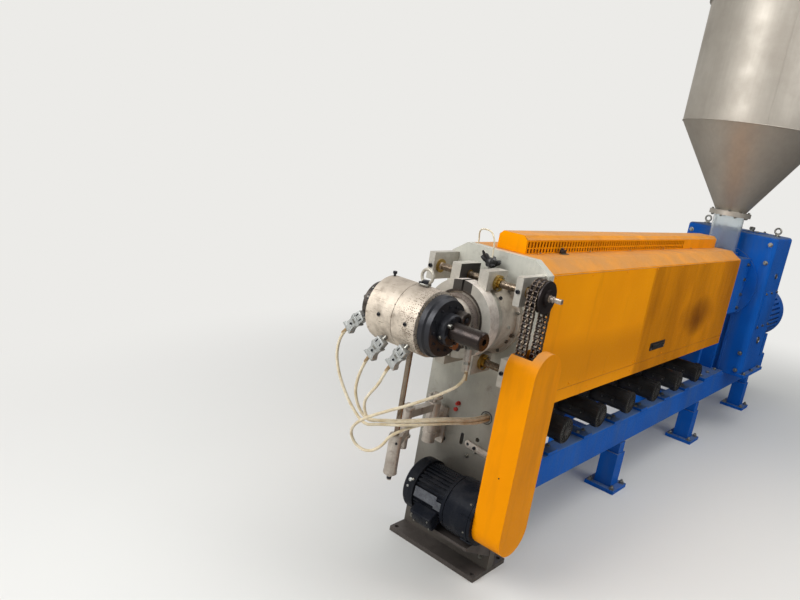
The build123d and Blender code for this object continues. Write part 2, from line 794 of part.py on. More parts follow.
# Heater plugs: foot on the heater, upper end, and the way the plug and its lead point
plugs = (
    (from_line(-225, -60, -57.6), from_line(-231, -92, -38), unit((-0.66, -0.1, -0.74))),
    (from_line(-108, -88.9, -74.6), from_line(-112, -104, -90), unit((-0.52, -0.05, -0.85))),
    (from_line(-8, -88.9, -74.6), from_line(-12, -104, -90), unit((-0.52, -0.05, -0.85))),
    (from_line(66.7, 135, -66.7), from_line(84, 132, -86), unit((0.22, -0.16, -0.96))),
)
with BuildPart() as heater_plugs:
    for foot, top, way in plugs:
        across = Vector(0, 1, 0).cross(way).normalized()
        plug_plane = Plane(origin=Vector(*top) + way * (plug_size[2] / 2), x_dir=across, z_dir=way)
        with Locations(plug_plane):
            Box(*plug_size)
        neck = Vector(*top) + way * 8 - Vector(*foot)
        neck_plane = Plane(origin=foot, z_dir=neck)
        with Locations(neck_plane):
            Cylinder(9, neck.length, align=from_start)
    rod_along_x(band_left, band_right - band_left, band_outer, 0, line_height, mode=Mode.SUBTRACT)
    rod_along_x(head_left - nose_length, nose_length, nose_radius, 0, line_height, mode=Mode.SUBTRACT)
    rod_along_y(neck_band_start, neck_band_length, neck_radius + neck_band_thickness, 0, line_height,
                mode=Mode.SUBTRACT)
save(heater_plugs, "heater_plugs")


def tangent_radii(points):
    """Largest smooth bend at each inner point: 0.45 of the shorter run over tan(half the turn)."""
    radii = []
    for before, here, after in zip(points, points[1:], points[2:]):
        arrive = Vector(*here) - Vector(*before)
        leave = Vector(*after) - Vector(*here)
        turn_angle = math.radians(arrive.get_angle(leave))
        radii.append(0.45 * min(arrive.length, leave.length) / math.tan(turn_angle / 2))
    return radii


def cord(points, diameter, name):
    """A round cord through the points of its route, written as one piece."""
    radii = tangent_radii(points)
    print(name, "bends", [round(r) for r in radii])
    with BuildPart() as tube:
        with BuildLine() as route:
            FilletPolyline(*points, radius=radii)
        with BuildSketch(Plane(origin=points[0], z_dir=Vector(*points[1]) - Vector(*points[0]))) as section:
            Circle(diameter / 2)
        sweep(section.sketch, path=route.line)
    length = sum(edge.length for edge in route.edges())
    print(name, "volume over section times length", tube.part.volume / (math.pi * diameter ** 2 / 4 * length))
    save(tube, name)
    cords[name] = points


lane = 6.5                    # half the spacing of the leads in their bundle
trunk = (
    from_line(-150, -75, -415), from_line(-90, -70, -388), from_line(-20, -50, -368), from_line(40, 20, -355),
    from_line(70, 120, -360), from_line(cable_hole_x, 220, -378),
    from_line(cable_hole_x, 300, -cable_hole_drop),
    from_line(cable_hole_x, plate_back + lane, -cable_hole_drop),
)
turned_left = ((0, 1), (0, 1), (0, 1), (-0.7, 0.7), (-1, 0), (-1, 0), (-1, 0), (-1, 0))


def lane_points(left, up, first=0):
    """Points of one lead's lane beside the middle of the bundle."""
    return [
        (x + left * lane * nx, y + left * lane * ny, z + up * lane)
        for (x, y, z), (nx, ny) in zip(trunk[first:], turned_left[first:])
    ]


def heater_lead(index, run, free_points, lane_run, name):
    """A lead: straight out of its plug, down through free points and on along its lane."""
    foot, top, way = plugs[index]
    low_end = Vector(*top) + way * plug_size[2]
    cord([tuple(low_end), tuple(low_end + way * run),
          *[from_line(*point) for point in free_points], *lane_run], lead_diameter, name)


heater_lead(0, 42, ((-322, -100, -200), (-300, -98, -265), (-262, -92, -328), (-212, -86, -382)),
            lane_points(-1, -1), "heater_lead_1")
heater_lead(1, 36, ((-196, -104, -255), (-204, -98, -310), (-190, -84, -368)),
            lane_points(1, 1), "heater_lead_2")
heater_lead(2, 36, ((-92, -108, -240), (-128, -100, -284), (-164, -90, -336), (-146, -82, -394)),
            lane_points(-1, 1, 1), "heater_lead_3")
heater_lead(3, 42, ((72, 30, -242), (18, -45, -284), (-46, -100, -324), (-112, -122, -368),
                    (-168, -118, -418), (-196, -98, -470), (-172, -80, -514), (-118, -72, -516),
                    (-66, -66, -472), (-42, -58, -416)),
            lane_points(1, -1, 3), "heater_lead_4")

# Melt sensor on the barrel head and its short cable over the plate
sensor_base = line_height + drum_flat
with BuildPart() as melt_sensor:
    rod_upright(sensor_base, sensor_base + sensor_stem_height + 2, sensor_stem_radius, sensor_x, sensor_y)
    rod_upright(sensor_base + sensor_stem_height, sensor_base + sensor_stem_height + sensor_head_height,
                sensor_head_radius, sensor_x, sensor_y)
    fillet(melt_sensor.faces().sort_by(Axis.Z)[-1].edges(), 6)
save(melt_sensor, "melt_sensor")

sensor_top = sensor_base + sensor_stem_height + sensor_head_height
sensor_bends = ((0, 0, 0), (0, 0, 30), (-7, 4, 66), (-34, 18, 90), (-74, 38, 90), (-110, 60, 84),
                (-132, 84, 66), (-135, 95, 42), (-135, 95, plate_top + seat_gap - sensor_top))
cord([(sensor_x + x, sensor_y + y, sensor_top + rise) for x, y, rise in sensor_bends],
     sensor_cable_diameter, "sensor_cable")

# Barrel cover: folded top, two panels and a sill on each side, end sheet and vent box
fold_level = line_height + plate_shoulder_rise
lip_half = plate_half_width - sheet - seat_gap
with BuildPart() as cover_top:
    with BuildSketch(Plane.XZ.offset(-cover_start)) as fold:
        with BuildLine():
            Polyline((-plate_half_width, fold_level), (-plate_top_half, plate_top),
                     (plate_top_half, plate_top), (plate_half_width, fold_level),
                     (plate_half_width - sheet, fold_level),
                     (plate_top_half - sheet / 2, plate_top - sheet),
                     (-plate_top_half + sheet / 2, plate_top - sheet),
                     (-plate_half_width + sheet, fold_level), close=True)
        make_face()
        for side in (-1, 1):
            with Locations((side * (lip_half - sheet / 2), fold_level - 12)):
                Rectangle(sheet, 36)
    extrude(fold.sketch, amount=-(cover_end - cover_start))
save(cover_top, "cover_top")

for side, name in ((1, "cover_panels_right"), (-1, "cover_panels_left")):
    with BuildPart() as cover_panels:
        outer = side * plate_half_width
        inner = side * (plate_half_width - sheet)
        low_x, high_x = sorted((inner, outer))
        for start, end in ((cover_start, cover_panel_split - panel_gap / 2),
                           (cover_panel_split + panel_gap / 2, cover_end)):
            block((low_x, start, sill_top + panel_gap / 2), (high_x, end, fold_level - panel_gap / 2))
        block((low_x, cover_start, cover_bottom), (high_x, cover_end, sill_top - panel_gap / 2))
        lip_low, lip_high = sorted((side * lip_half, side * (lip_half - sheet)))
        block((lip_low, cover_start, sill_top - 20), (lip_high, cover_end, sill_top + 22))
        foot_low, foot_high = sorted((side * lip_half, outer))
        block((foot_low, cover_start, sill_top - 20), (foot_high, cover_end, sill_top - 16))
        hem_low, hem_high = sorted((side * (plate_half_width - 22), outer))
        block((hem_low, cover_start, cover_bottom), (hem_high, cover_end, cover_bottom + sheet))
    save(cover_panels, name)

with BuildPart() as cover_end_sheet:
    with BuildSketch(Plane.XZ.offset(-cover_end)) as end_outline:
        with BuildLine():
            Polyline((-plate_half_width, cover_bottom), (plate_half_width, cover_bottom),
                     (plate_half_width, fold_level), (plate_top_half, plate_top),
                     (-plate_top_half, plate_top), (-plate_half_width, fold_level), close=True)
        make_face()
        with Locations((0, line_height)):
            Circle(barrel_radius + seat_gap, mode=Mode.SUBTRACT)
    extrude(end_outline.sketch, amount=-sheet / 2)
save(cover_end_sheet, "cover_end_sheet")

with BuildPart() as vent_box:
    with BuildSketch(Plane.XZ.offset(-vent_start)) as vent_section:
        with BuildLine():
            Polyline((-vent_half_width, plate_top), (vent_half_width, plate_top),
                     (vent_half_width, plate_top + vent_rise - vent_bevel),
                     (vent_half_width - vent_bevel, plate_top + vent_rise),
                     (-vent_half_width + vent_bevel, plate_top + vent_rise),
                     (-vent_half_width, plate_top + vent_rise - vent_bevel), close=True)
        make_face()
    extrude(vent_section.sketch, amount=-(vent_end - vent_start))
    with BuildSketch(Plane.XZ.offset(-vent_start - sheet)) as vent_hollow:
        with Locations((0, plate_top + (vent_rise - vent_bevel) / 2)):
            Rectangle(2 * (vent_half_width - sheet), vent_rise - vent_bevel)
        with Locations((0, plate_top + (vent_rise - sheet) / 2)):
            Rectangle(2 * (vent_half_width - vent_bevel), vent_rise - sheet)
    extrude(vent_hollow.sketch, amount=-(vent_end - vent_start - 2 * sheet), mode=Mode.SUBTRACT)
save(vent_box, "vent_box")

# Heated and cooled jackets round the barrel, with a blower hung under each
with BuildPart() as barrel_jackets:
    with BuildSketch(Plane.XZ.offset(-jacket_first)) as jacket_section:
        with Locations((0, line_height)):
            Rectangle(2 * jacket_half, 2 * jacket_half)
        chamfer(jacket_section.vertices(), jacket_half / 3)
        with Locations((0, line_height)):
            Circle(barrel_radius + seat_gap, mode=Mode.SUBTRACT)
    for index in range(jacket_count):
        extrude(jacket_section.sketch.moved(Location((0, index * jacket_pitch, 0))), amount=-jacket_length)
save(barrel_jackets, "barrel_jackets")

duct_top = line_height - jacket_half
with BuildPart() as blowers:
    for y in jacket_places:
        rod_along_x(-blower_case_width / 2, blower_case_width, blower_wheel_radius, y, blower_height)
        rod_along_x(0, blower_motor_end - blower_cap_length, blower_motor_radius, y, blower_height)
        rod_along_x(blower_motor_end - blower_cap_length, blower_cap_length, blower_cap_radius,
                    y, blower_height)
        block((-blower_duct / 2, y - blower_duct / 2, blower_height),
              (blower_duct / 2, y + blower_duct / 2, duct_top))
save(blowers, "blowers")

with BuildPart() as blower_mounts:
    for y in jacket_places:
        block((-beam_half_gap - beam_width, y - strip_length / 2, beam_high),
              (beam_half_gap + beam_width, y + strip_length / 2, beam_high + strip_thickness))
        block((-saddle_half, y - saddle_half, beam_high + strip_thickness),
              (saddle_half, y + saddle_half, saddle_high))
        rod_along_x(-saddle_half - 1, 2 * saddle_half + 2, blower_wheel_radius + seat_gap, y, blower_height,
                    mode=Mode.SUBTRACT)
save(blower_mounts, "blower_mounts")

# Base frame: two long beams behind the plate, on trestles with anchored feet
with BuildPart() as base_beams:
    for side in (-1, 1):
        low_x, high_x = sorted((side * beam_half_gap, side * (beam_half_gap + beam_width)))
        block((low_x, plate_back, beam_low), (high_x, base_end, beam_high))
    fillet(base_beams.edges().filter_by(Axis.Y), beam_round)
save(base_beams, "base_beams")

leg_x = beam_half_gap + beam_width / 2
with BuildPart() as base_trestles:
    for y in trestle_places:
        block((-beam_half_gap - beam_width, y - trestle_bar_height / 2, beam_low - trestle_bar_height),
              (beam_half_gap + beam_width, y + trestle_bar_height / 2, beam_low))
        for side in (-1, 1):
            middle = side * leg_x
            block((middle - leg_side / 2, y - leg_side / 2, foot_thickness),
                  (middle + leg_side / 2, y + leg_side / 2, beam_low - trestle_bar_height))
            block((middle - foot_side / 2, y - foot_side / 2, 0),
                  (middle + foot_side / 2, y + foot_side / 2, foot_thickness))
            anchor_reach = foot_side - 2 * anchor_inset
            with Locations((middle, y, 0)):
                with GridLocations(anchor_reach, anchor_reach, 2, 2):
                    Cylinder(anchor_hole_radius, foot_thickness, align=from_start, mode=Mode.SUBTRACT)
save(base_trestles, "base_trestles")

# Feed throat round the end of the barrel, with its legs and the feed opening on top
with BuildPart() as feed_throat:
    block((-throat_half, throat_start, throat_low), (throat_half, throat_end, throat_high))
    for start in (throat_start + throat_leg_inset, throat_end - throat_leg_inset - throat_leg_thickness):
        block((-throat_leg_half, start, beam_high),
              (throat_leg_half, start + throat_leg_thickness, throat_low))
    block((-beam_half_gap - beam_width, throat_start + throat_leg_inset, beam_high),
          (beam_half_gap + beam_width, throat_end - throat_leg_inset, beam_high + foot_thickness))
    rod_upright(throat_high, throat_high + feed_collar_height, feed_collar_radius, 0, hopper_y)
    rod_along_y(throat_start - 1, barrel_end - throat_start + 1, barrel_radius + seat_gap, 0, line_height,
                mode=Mode.SUBTRACT)
    rod_upright(line_height, throat_high + feed_collar_height + 1, feed_opening_radius, 0, hopper_y,
                mode=Mode.SUBTRACT)
save(feed_throat, "feed_throat")


def turn_upright(points):
    """Revolve a closed half section of (radius, level) points about the hopper's axis."""
    with BuildSketch(Plane.XZ.offset(-hopper_y)) as half_section:
        with BuildLine():
            Polyline(*points, close=True)
        make_face()
    revolve(half_section.sketch, axis=Axis((0, hopper_y, 0), (0, 0, 1)))


window_low = throat_high + feed_collar_height
window_bore = window_radius - window_wall
with BuildPart() as hopper_window:
    turn_upright([(window_bore, window_low), (window_radius, window_low), (window_radius, window_high),
                  (window_bore, window_high)])
save(hopper_window, "hopper_window")

cone_low = window_high + hopper_flange_thickness
with BuildPart() as hopper_cone:
    turn_upright([
        (window_bore, window_high),
        (hopper_flange_radius, window_high),
        (hopper_flange_radius, cone_low),
        (window_radius, cone_low),
        (hopper_radius, cone_high),
        (hopper_radius - hopper_wall, cone_high),
        (window_bore, cone_low),
    ])
save(hopper_cone, "hopper_cone")

with BuildPart() as hopper:
    turn_upright([(hopper_radius - hopper_wall, cone_high), (hopper_radius, cone_high),
                  (hopper_radius, hopper_high), (hopper_radius - hopper_wall, hopper_high)])
save(hopper, "hopper")

lid_radius = hopper_radius + lid_overhang
with BuildPart() as hopper_lid:
    turn_upright([
        (0, hopper_high + lid_rise),
        (hopper_radius - lid_overhang, hopper_high),
        (lid_radius, hopper_high),
        (lid_radius, hopper_high + hopper_wall),
        (hopper_radius - lid_overhang, hopper_high + hopper_wall),
        (0, hopper_high + lid_rise + hopper_wall),
    ])
save(hopper_lid, "hopper_lid")

# Gearbox behind the throat, on the beams, and the main motor flanged to its back
with BuildPart() as gearbox:
    block((-gearbox_half, gearbox_start, gearbox_low), (gearbox_half, gearbox_end, gearbox_high))
    fillet(gearbox.edges().filter_by(Axis.Z), gearbox_round)
    fillet(gearbox.faces().sort_by(Axis.Z)[-1].edges(), gearbox_round / 2)
    rod_along_y(throat_end, gearbox_start - throat_end, bell_radius, 0, line_height)
    block((-gearbox_foot_half, throat_end + foot_thickness, beam_high),
          (gearbox_foot_half, gearbox_end + foot_thickness, gearbox_low))
    for x in (-gearbox_half / 2, gearbox_half / 2):
        block((x - rib_thickness / 2, gearbox_start - rib_depth / 2, gearbox_low),
              (x + rib_thickness / 2, gearbox_start, line_height - bell_radius / 2))
save(gearbox, "gearbox")

with BuildPart() as drive_motor:
    rod_along_y(gearbox_end, drive_start - gearbox_end, drive_adaptor_radius, 0, drive_height)
    with BuildSketch(Plane.XZ.offset(-drive_start)) as finned:
        with Locations((0, drive_height)):
            Circle(drive_radius)
            with PolarLocations(drive_radius, drive_fin_count):
                Rectangle(2 * drive_fin_depth, drive_fin_depth, mode=Mode.SUBTRACT)
    extrude(finned.sketch, amount=-(drive_end - drive_start))
save(drive_motor, "drive_motor")

with BuildPart() as drive_cowl:
    rod_along_y(drive_end, drive_cowl_length, drive_radius, 0, drive_height)
    fillet(drive_cowl.faces().sort_by(Axis.Y)[-1].edges(), gearbox_round / 2)
save(drive_cowl, "drive_cowl")

with BuildPart() as drive_mount:
    for y in drive_mount_places:
        block((-gearbox_foot_half / 2 - saddle_half, y - drive_mount_length / 2, beam_high),
              (gearbox_foot_half / 2 + saddle_half, y + drive_mount_length / 2, drive_mount_high))
        rod_along_y(y - drive_mount_length, 2 * drive_mount_length, drive_radius + seat_gap, 0, drive_height,
                    mode=Mode.SUBTRACT)
save(drive_mount, "drive_mount")

# The finished row stands with its origin on the floor, in the middle of its outline
outline_box = Compound([piece for name, piece in finished.items() if name not in cords]).bounding_box()
middle = outline_box.center()
to_origin = Location((-middle.X, -middle.Y, 0))
print("moved to the origin by", tuple(to_origin.position))
for name, piece in finished.items():
    placed = to_origin * piece
    placed.label = name
    export_step(placed, f"parts/{name}.step")
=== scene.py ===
import math
import bpy
import bmesh
from mathutils import Matrix, Vector


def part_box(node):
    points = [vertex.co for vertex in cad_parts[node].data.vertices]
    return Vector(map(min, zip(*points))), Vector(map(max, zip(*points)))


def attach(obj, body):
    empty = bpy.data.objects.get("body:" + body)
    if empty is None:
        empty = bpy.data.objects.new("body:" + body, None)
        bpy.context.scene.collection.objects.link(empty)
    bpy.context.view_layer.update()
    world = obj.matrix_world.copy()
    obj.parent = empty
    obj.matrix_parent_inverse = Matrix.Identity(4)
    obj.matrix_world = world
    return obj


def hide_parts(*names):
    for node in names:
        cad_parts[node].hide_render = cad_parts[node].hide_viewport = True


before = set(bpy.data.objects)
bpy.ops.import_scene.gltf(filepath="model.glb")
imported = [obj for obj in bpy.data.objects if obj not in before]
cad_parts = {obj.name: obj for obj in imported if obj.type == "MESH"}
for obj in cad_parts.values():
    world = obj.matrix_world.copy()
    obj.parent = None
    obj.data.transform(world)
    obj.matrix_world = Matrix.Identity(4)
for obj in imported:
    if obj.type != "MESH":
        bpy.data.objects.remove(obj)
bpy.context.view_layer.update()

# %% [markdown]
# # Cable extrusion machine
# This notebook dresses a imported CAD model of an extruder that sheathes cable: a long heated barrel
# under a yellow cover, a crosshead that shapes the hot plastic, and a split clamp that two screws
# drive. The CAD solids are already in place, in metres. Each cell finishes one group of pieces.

# %% [markdown]
# ## The machine's own measure
# A drawing of this machine counts from the crosshead: millimetres, X along the crosshead's bore, Y
# along the barrel, Z up from the floor. One helper turns such a place into the metres of the frame.
# It reads the front plate's box, so every piece below stays on the CAD model.

# %% From the machine's measure to the frame
LINE = 1000.0           # height of the crosshead's bore and of the barrel's axis
PLATE_FACE = 350.0      # front face of the front plate
plate_low, plate_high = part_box("front_plate")
middle_x = (plate_low[0] + plate_high[0]) / 2
crosshead_y = plate_low[1] - PLATE_FACE / 1000
ALONG, DEEP, UP = Vector((1, 0, 0)), Vector((0, 1, 0)), Vector((0, 0, 1))
FRONT = -DEEP           # the way that the front plate faces


def at(x, y, z):
    """A place in the machine's measure, as a point of the frame."""
    return Vector((middle_x + x / 1000, crosshead_y + y / 1000, z / 1000))


print("crosshead stands at", tuple(round(value, 4) for value in at(0, 0, LINE)))

# %% [markdown]
# ## Camera
# The picture was taken from the front right, a little above the machine, with the camera tipped
# clockwise. A camera in Blender looks down its own -Z. So it is turned up from the floor, turned
# round the machine and rolled, in that order, which is three rotation matrices multiplied.

# %% Camera
SWING, TIP, ROLL = 39.54, 12.98, 9.36       # degrees round the machine, downwards and clockwise
camera_data = bpy.data.cameras.new("camera")
camera_data.sensor_width = 36.0
camera_data.lens = 31.23
camera_data.clip_end = 60.0
camera = bpy.data.objects.new("camera", camera_data)
bpy.context.scene.collection.objects.link(camera)
camera.matrix_world = (
    Matrix.Translation(at(1364.8, -1832.4, 1586.0))
    @ Matrix.Rotation(math.radians(SWING), 4, "Z")
    @ Matrix.Rotation(math.radians(90 - TIP), 4, "X")
    @ Matrix.Rotation(math.radians(ROLL), 4, "Z")
)
bpy.context.scene.camera = camera
print("camera at", tuple(round(value, 3) for value in camera.location))

# %% [markdown]
# ## Picking vertices, edges and faces
# A bmesh operator gives back what it made, mixed in one list. The next operator wants only the
# vertices or only the edges of it. These small helpers pick them, and put a made shape in its place.

# %% Helpers that pick and place
def vertices_in(items):
    """The vertices among the geometry that an operator gives back."""
    return [item for item in items if isinstance(item, bmesh.types.BMVert)]


def edges_at(verts):
    """Every edge that ends at one of the vertices."""
    return list({edge for vert in verts for edge in vert.link_edges})


def faces_at(verts):
    """Every face that has one of the vertices as a corner."""
    return list({face for vert in verts for face in vert.link_faces})


def connected(verts):
    """The vertices and all that hang together with them by edges."""
    found, waiting = set(verts), list(verts)
    while waiting:
        for edge in waiting.pop().link_edges:
            for vert in edge.verts:
                if vert not in found:
                    found.add(vert)
                    waiting.append(vert)
    return list(found)


def set_material(verts, material):
    """Give the faces at the vertices a place in the piece's list of materials."""
    for face in faces_at(verts):
        face.material_index = material


def facing(direction):
    """Rotation that turns +Z to a direction."""
    return Vector(direction).normalized().to_track_quat("Z", "Y").to_matrix().to_4x4()


def stand(work, verts, place, direction):
    """Turn vertices from +Z to a direction and move them to a place."""
    bmesh.ops.transform(work, matrix=Matrix.Translation(place) @ facing(direction), verts=verts)


def axes(origin, x_way, z_way):
    """Matrix that lays a shape's X and Z along two directions, from an origin."""
    x_axis, z_axis = Vector(x_way).normalized(), Vector(z_way).normalized()
    y_axis = z_axis.cross(x_axis)
    turn = Matrix((x_axis, y_axis, z_axis)).transposed().to_4x4()
    return Matrix.Translation(origin) @ turn


def toward(first, second, degrees):
    """The direction that lies some degrees from a first one towards a second one."""
    return first * math.cos(math.radians(degrees)) + second * math.sin(math.radians(degrees))


print("helpers that pick and place are ready")

# %% [markdown]
# ## Workshop shapes
# Almost every small piece on a machine is turned, cut from bar or bought as a screw. `turned` spins
# a half section round an axis as a lathe would, `slab` is a bevelled block, `bolt` and
# `socket_screw` are the two heads that hold this machine together, and `finish_piece` turns the
# bmesh into an object that rides on a body.

# %% Workshop shapes
def finish_piece(mesh_work, name, body, material):
    """Close a bmesh into an object at the origin that rides on a body and takes a material."""
    bmesh.ops.remove_doubles(mesh_work, verts=mesh_work.verts, dist=0.00002)
    bmesh.ops.recalc_face_normals(mesh_work, faces=mesh_work.faces)
    mesh = bpy.data.meshes.new(name)
    mesh_work.to_mesh(mesh)
    mesh_work.free()
    piece = bpy.data.objects.new(name, mesh)
    bpy.context.scene.collection.objects.link(piece)
    for item in material if isinstance(material, list) else [material]:
        mesh.materials.append(item)
    mesh.shade_smooth()
    mesh.set_sharp_from_angle(angle=math.radians(32))
    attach(piece, body)
    print(name, "has", len(mesh.polygons), "faces")
    return piece


def turned(work, profile, centre, direction, steps=32, material=0):
    """Spin a half section of (radius, height) points, in mm, round a direction at a centre."""
    verts = [work.verts.new((radius / 1000, 0, height / 1000)) for radius, height in profile]
    edges = [work.edges.new(pair) for pair in zip(verts, verts[1:])]
    spun = bmesh.ops.spin(work, geom=verts + edges, cent=(0, 0, 0), axis=UP, angle=math.tau, steps=steps,
                          use_merge=True)
    made = connected(verts + vertices_in(spun["geom_last"]))
    stand(work, made, centre, direction)
    set_material(made, material)
    return made


def slab(work, centre, x_way, z_way, size, round_mm=1.0, material=0, segments=1):
    """A bevelled block of a size in mm, its X and Z laid along two directions."""
    made = bmesh.ops.create_cube(work, size=1.0)["verts"]
    bmesh.ops.scale(work, vec=[side / 1000 for side in size], verts=made)
    if round_mm:
        cut = bmesh.ops.bevel(work, geom=edges_at(made), offset=round_mm / 1000, offset_type="OFFSET",
                              segments=segments, profile=0.5, affect="EDGES", material=-1)
        made = list({vert for face in cut["faces"] for vert in face.verts})
    bmesh.ops.transform(work, matrix=axes(centre, x_way, z_way), verts=made)
    set_material(made, material)
    return made


WASHER = 1.4            # thickness of a washer


def bolt(work, place, direction, across=13.0, height=8.0, material=0, washer=True):
    """A hexagon bolt head, on its washer or bare, standing on a surface at a place."""
    base = WASHER if washer else 0.0
    if washer:
        rim = across * 0.78
        turned(work, [(0, 0), (rim, 0), (rim, WASHER), (0, WASHER)], place, direction, 20, material)
    corner = across / math.sqrt(3) / 1000
    head = bmesh.ops.create_cone(work, cap_ends=True, segments=6, radius1=corner, radius2=corner,
                                 depth=height / 1000)["verts"]
    bmesh.ops.translate(work, vec=(0, 0, (base + height / 2) / 1000), verts=head)
    nearly_top = (base + height * 0.9) / 1000
    top = [edge for edge in edges_at(head) if all(end.co.z > nearly_top for end in edge.verts)]
    cut = bmesh.ops.bevel(work, geom=top, offset=across * 0.06 / 1000, offset_type="OFFSET", segments=1,
                          profile=0.5, affect="EDGES", material=-1)
    kept = {vert for vert in head if vert.is_valid}
    head = list(kept | {vert for face in cut["faces"] for vert in face.verts})
    stand(work, head, place, direction)
    set_material(head, material)


def socket_screw(work, place, direction, across=13.0, material=0):
    """A round screw head with a hexagon socket, standing on a surface at a place."""
    radius = across / 2
    shares = [(0.5, 0.2), (0.55, 0.86), (0.62, 1), (0.88, 1), (1, 0.86), (1, 0), (0, 0)]
    turned(work, [(radius * out, radius * high) for out, high in shares], place, direction, 18, material)
    floor = bmesh.ops.create_circle(work, cap_ends=True, segments=6, radius=radius * 0.52 / 1000)["verts"]
    bmesh.ops.translate(work, vec=(0, 0, radius * 0.22 / 1000), verts=floor)
    stand(work, floor, place, direction)
    set_material(floor, material)


def copies(count, radius, centre, direction, start=0.0):
    """Places evenly spaced on a circle in mm round a direction."""
    turn = facing(direction)
    for index in range(count):
        angle = start + index * math.tau / count
        yield centre + turn @ Vector((math.cos(angle), math.sin(angle), 0)) * (radius / 1000)


print("workshop shapes are ready")

# %% [markdown]
# ## Helpers for materials
# A finish starts from the real substance. Colours are written as the hex values a painter would
# read off a card, and one function makes them linear, as the shader needs. Every pattern is
# scaled from a real size: a noise with a feature of 12 mm has a scale of 1000 / 12 per metre. One
# function adds a node. A node can be handed to the next one as it is, which links its first output.
# `pattern` is the group of nodes that wear, dust and scratches all need.

# %% Helpers for materials
def colour(hex_text):
    """sRGB hex to the linear values the shader takes."""
    parts = [int(hex_text[i:i + 2], 16) / 255 for i in (1, 3, 5)]
    linear = [part / 12.92 if part <= 0.04045 else ((part + 0.055) / 1.055) ** 2.4 for part in parts]
    return (*linear, 1.0)


def grey(value):
    """A grey of a ramp that drives a number."""
    return (value, value, value, 1.0)


def per(mm):
    """Scale of a pattern whose features are this many millimetres wide."""
    return 1000.0 / mm


def connect(tree, node, inputs):
    """Set a node's inputs: a plain value is written in, a socket or a node's first output is linked."""
    for key, value in inputs.items():
        if isinstance(value, bpy.types.Node):
            value = next(output for output in value.outputs if output.enabled)
        if isinstance(value, bpy.types.NodeSocket):
            tree.links.new(value, node.inputs[key])
        else:
            node.inputs[key].default_value = value


def add_node(tree, kind, inputs=None, stops=(), **settings):
    """Add one shader node with its own settings, its inputs and, on a ramp, its colour stops."""
    made = tree.nodes.new("ShaderNode" + kind)
    for field, value in settings.items():
        setattr(made, field, value)
    if stops:
        marks = made.color_ramp.elements
        while len(marks) < len(stops):
            marks.new(0.5)
        for mark, (position, tone) in zip(marks, stops):
            mark.position, mark.color = position, tone
    connect(tree, made, inputs or {})
    return made


def pattern(tree, here, mm, detail, roughness, stops, stretch=(1.0, 1.0, 1.0)):
    """Patches of a real size in mm, stretched where a tool or gravity drew them, read through colour stops."""
    drawn = add_node(tree, "Mapping", {"Vector": here, "Scale": stretch})
    patches = add_node(tree, "TexNoise",
                       {"Vector": drawn, "Scale": per(mm), "Detail": detail, "Roughness": roughness})
    return add_node(tree, "ValToRGB", {"Fac": patches}, stops)


def start_finish(name, **values):
    """A new material: its tree, its shader with plain values set, and Object coordinates."""
    material = bpy.data.materials.new(name)
    material.use_nodes = True
    tree = material.node_tree
    shader = tree.nodes["Principled BSDF"]
    connect(tree, shader, {key.replace("_", " "): value for key, value in values.items()})
    return material, tree, shader, add_node(tree, "TexCoord").outputs["Object"]


print("helpers for materials are ready")

# %% [markdown]
# ## Darkening and painted shade on the yellow cover
# The rear side panels are darker brown behind the seam, in upright streaks, and one place on them
# is nearly black. Low on the panels a band of painted shade darkens them round a level. Three
# masks make this: a step at the seam between the panels times streaked noise, a distance from the
# darkest place, and a band round a level. The largest of the three wins.

# %% Mask of darkening and painted shade
PANEL_SEAM = (1345.0, 1385.0)           # the clean front panel ends and the darker rear one starts
COVER_SIDE = 216.0                      # outside of the panels
DARKEST_PLACE = at(COVER_SIDE, 2130, 900)
SHADE_BAND_LEVEL = 820.0


def cover_darkening_and_shade(tree, here):
    """How dark each point of the cover's side panels is, from 0 to 1, painted shade low down included."""
    place = add_node(tree, "SeparateXYZ", {"Vector": here}).outputs
    seam = [at(0, y, 0).y for y in PANEL_SEAM]
    rear = add_node(tree, "MapRange", {"Value": place["Y"], "From Min": seam[0], "From Max": seam[1],
                                       "To Min": 0.2, "To Max": 1.0})
    streaks = pattern(tree, here, 330, 5.0, 0.6, ((0.3, grey(0.24)), (0.68, grey(0.74))), (1.0, 1.0, 0.3))
    rear_streaked = add_node(tree, "Math", {0: rear, 1: streaks}, operation="MULTIPLY")

    offset = add_node(tree, "VectorMath", {0: here, 1: DARKEST_PLACE}, operation="SUBTRACT")
    offset = add_node(tree, "VectorMath", {0: offset, 1: (1.0, 0.55, 1.25)}, operation="MULTIPLY")
    reach = add_node(tree, "VectorMath", {0: offset}, operation="LENGTH")
    near = add_node(tree, "MapRange", {"Value": reach, "From Min": 0.03, "From Max": 0.3,
                                       "To Min": 1.0, "To Max": 0.0}, interpolation_type="SMOOTHSTEP")
    blotches = pattern(tree, here, 160, 4.0, 0.55, ((0.34, grey(0.72)), (0.6, grey(1))), (1.0, 1.0, 0.5))
    dark_patch = add_node(tree, "Math", {0: near, 1: blotches}, operation="MULTIPLY")
    darkened_rear = add_node(tree, "Math", {0: rear_streaked, 1: dark_patch}, operation="MAXIMUM")

    # A band round a level low on the panels is painted shade.
    height = add_node(tree, "Math", {0: place["Z"], 1: SHADE_BAND_LEVEL / 1000}, operation="SUBTRACT")
    height = add_node(tree, "Math", {0: height}, operation="ABSOLUTE")
    painted_shade_band = add_node(tree, "MapRange", {"Value": height, "From Min": 0.02, "From Max": 0.2,
                                       "To Min": 0.36, "To Max": 0.0}, interpolation_type="SMOOTHSTEP")
    return add_node(tree, "Math", {0: darkened_rear, 1: painted_shade_band}, operation="MAXIMUM")


print("hot place on the cover at", tuple(round(value, 3) for value in DARKEST_PLACE))

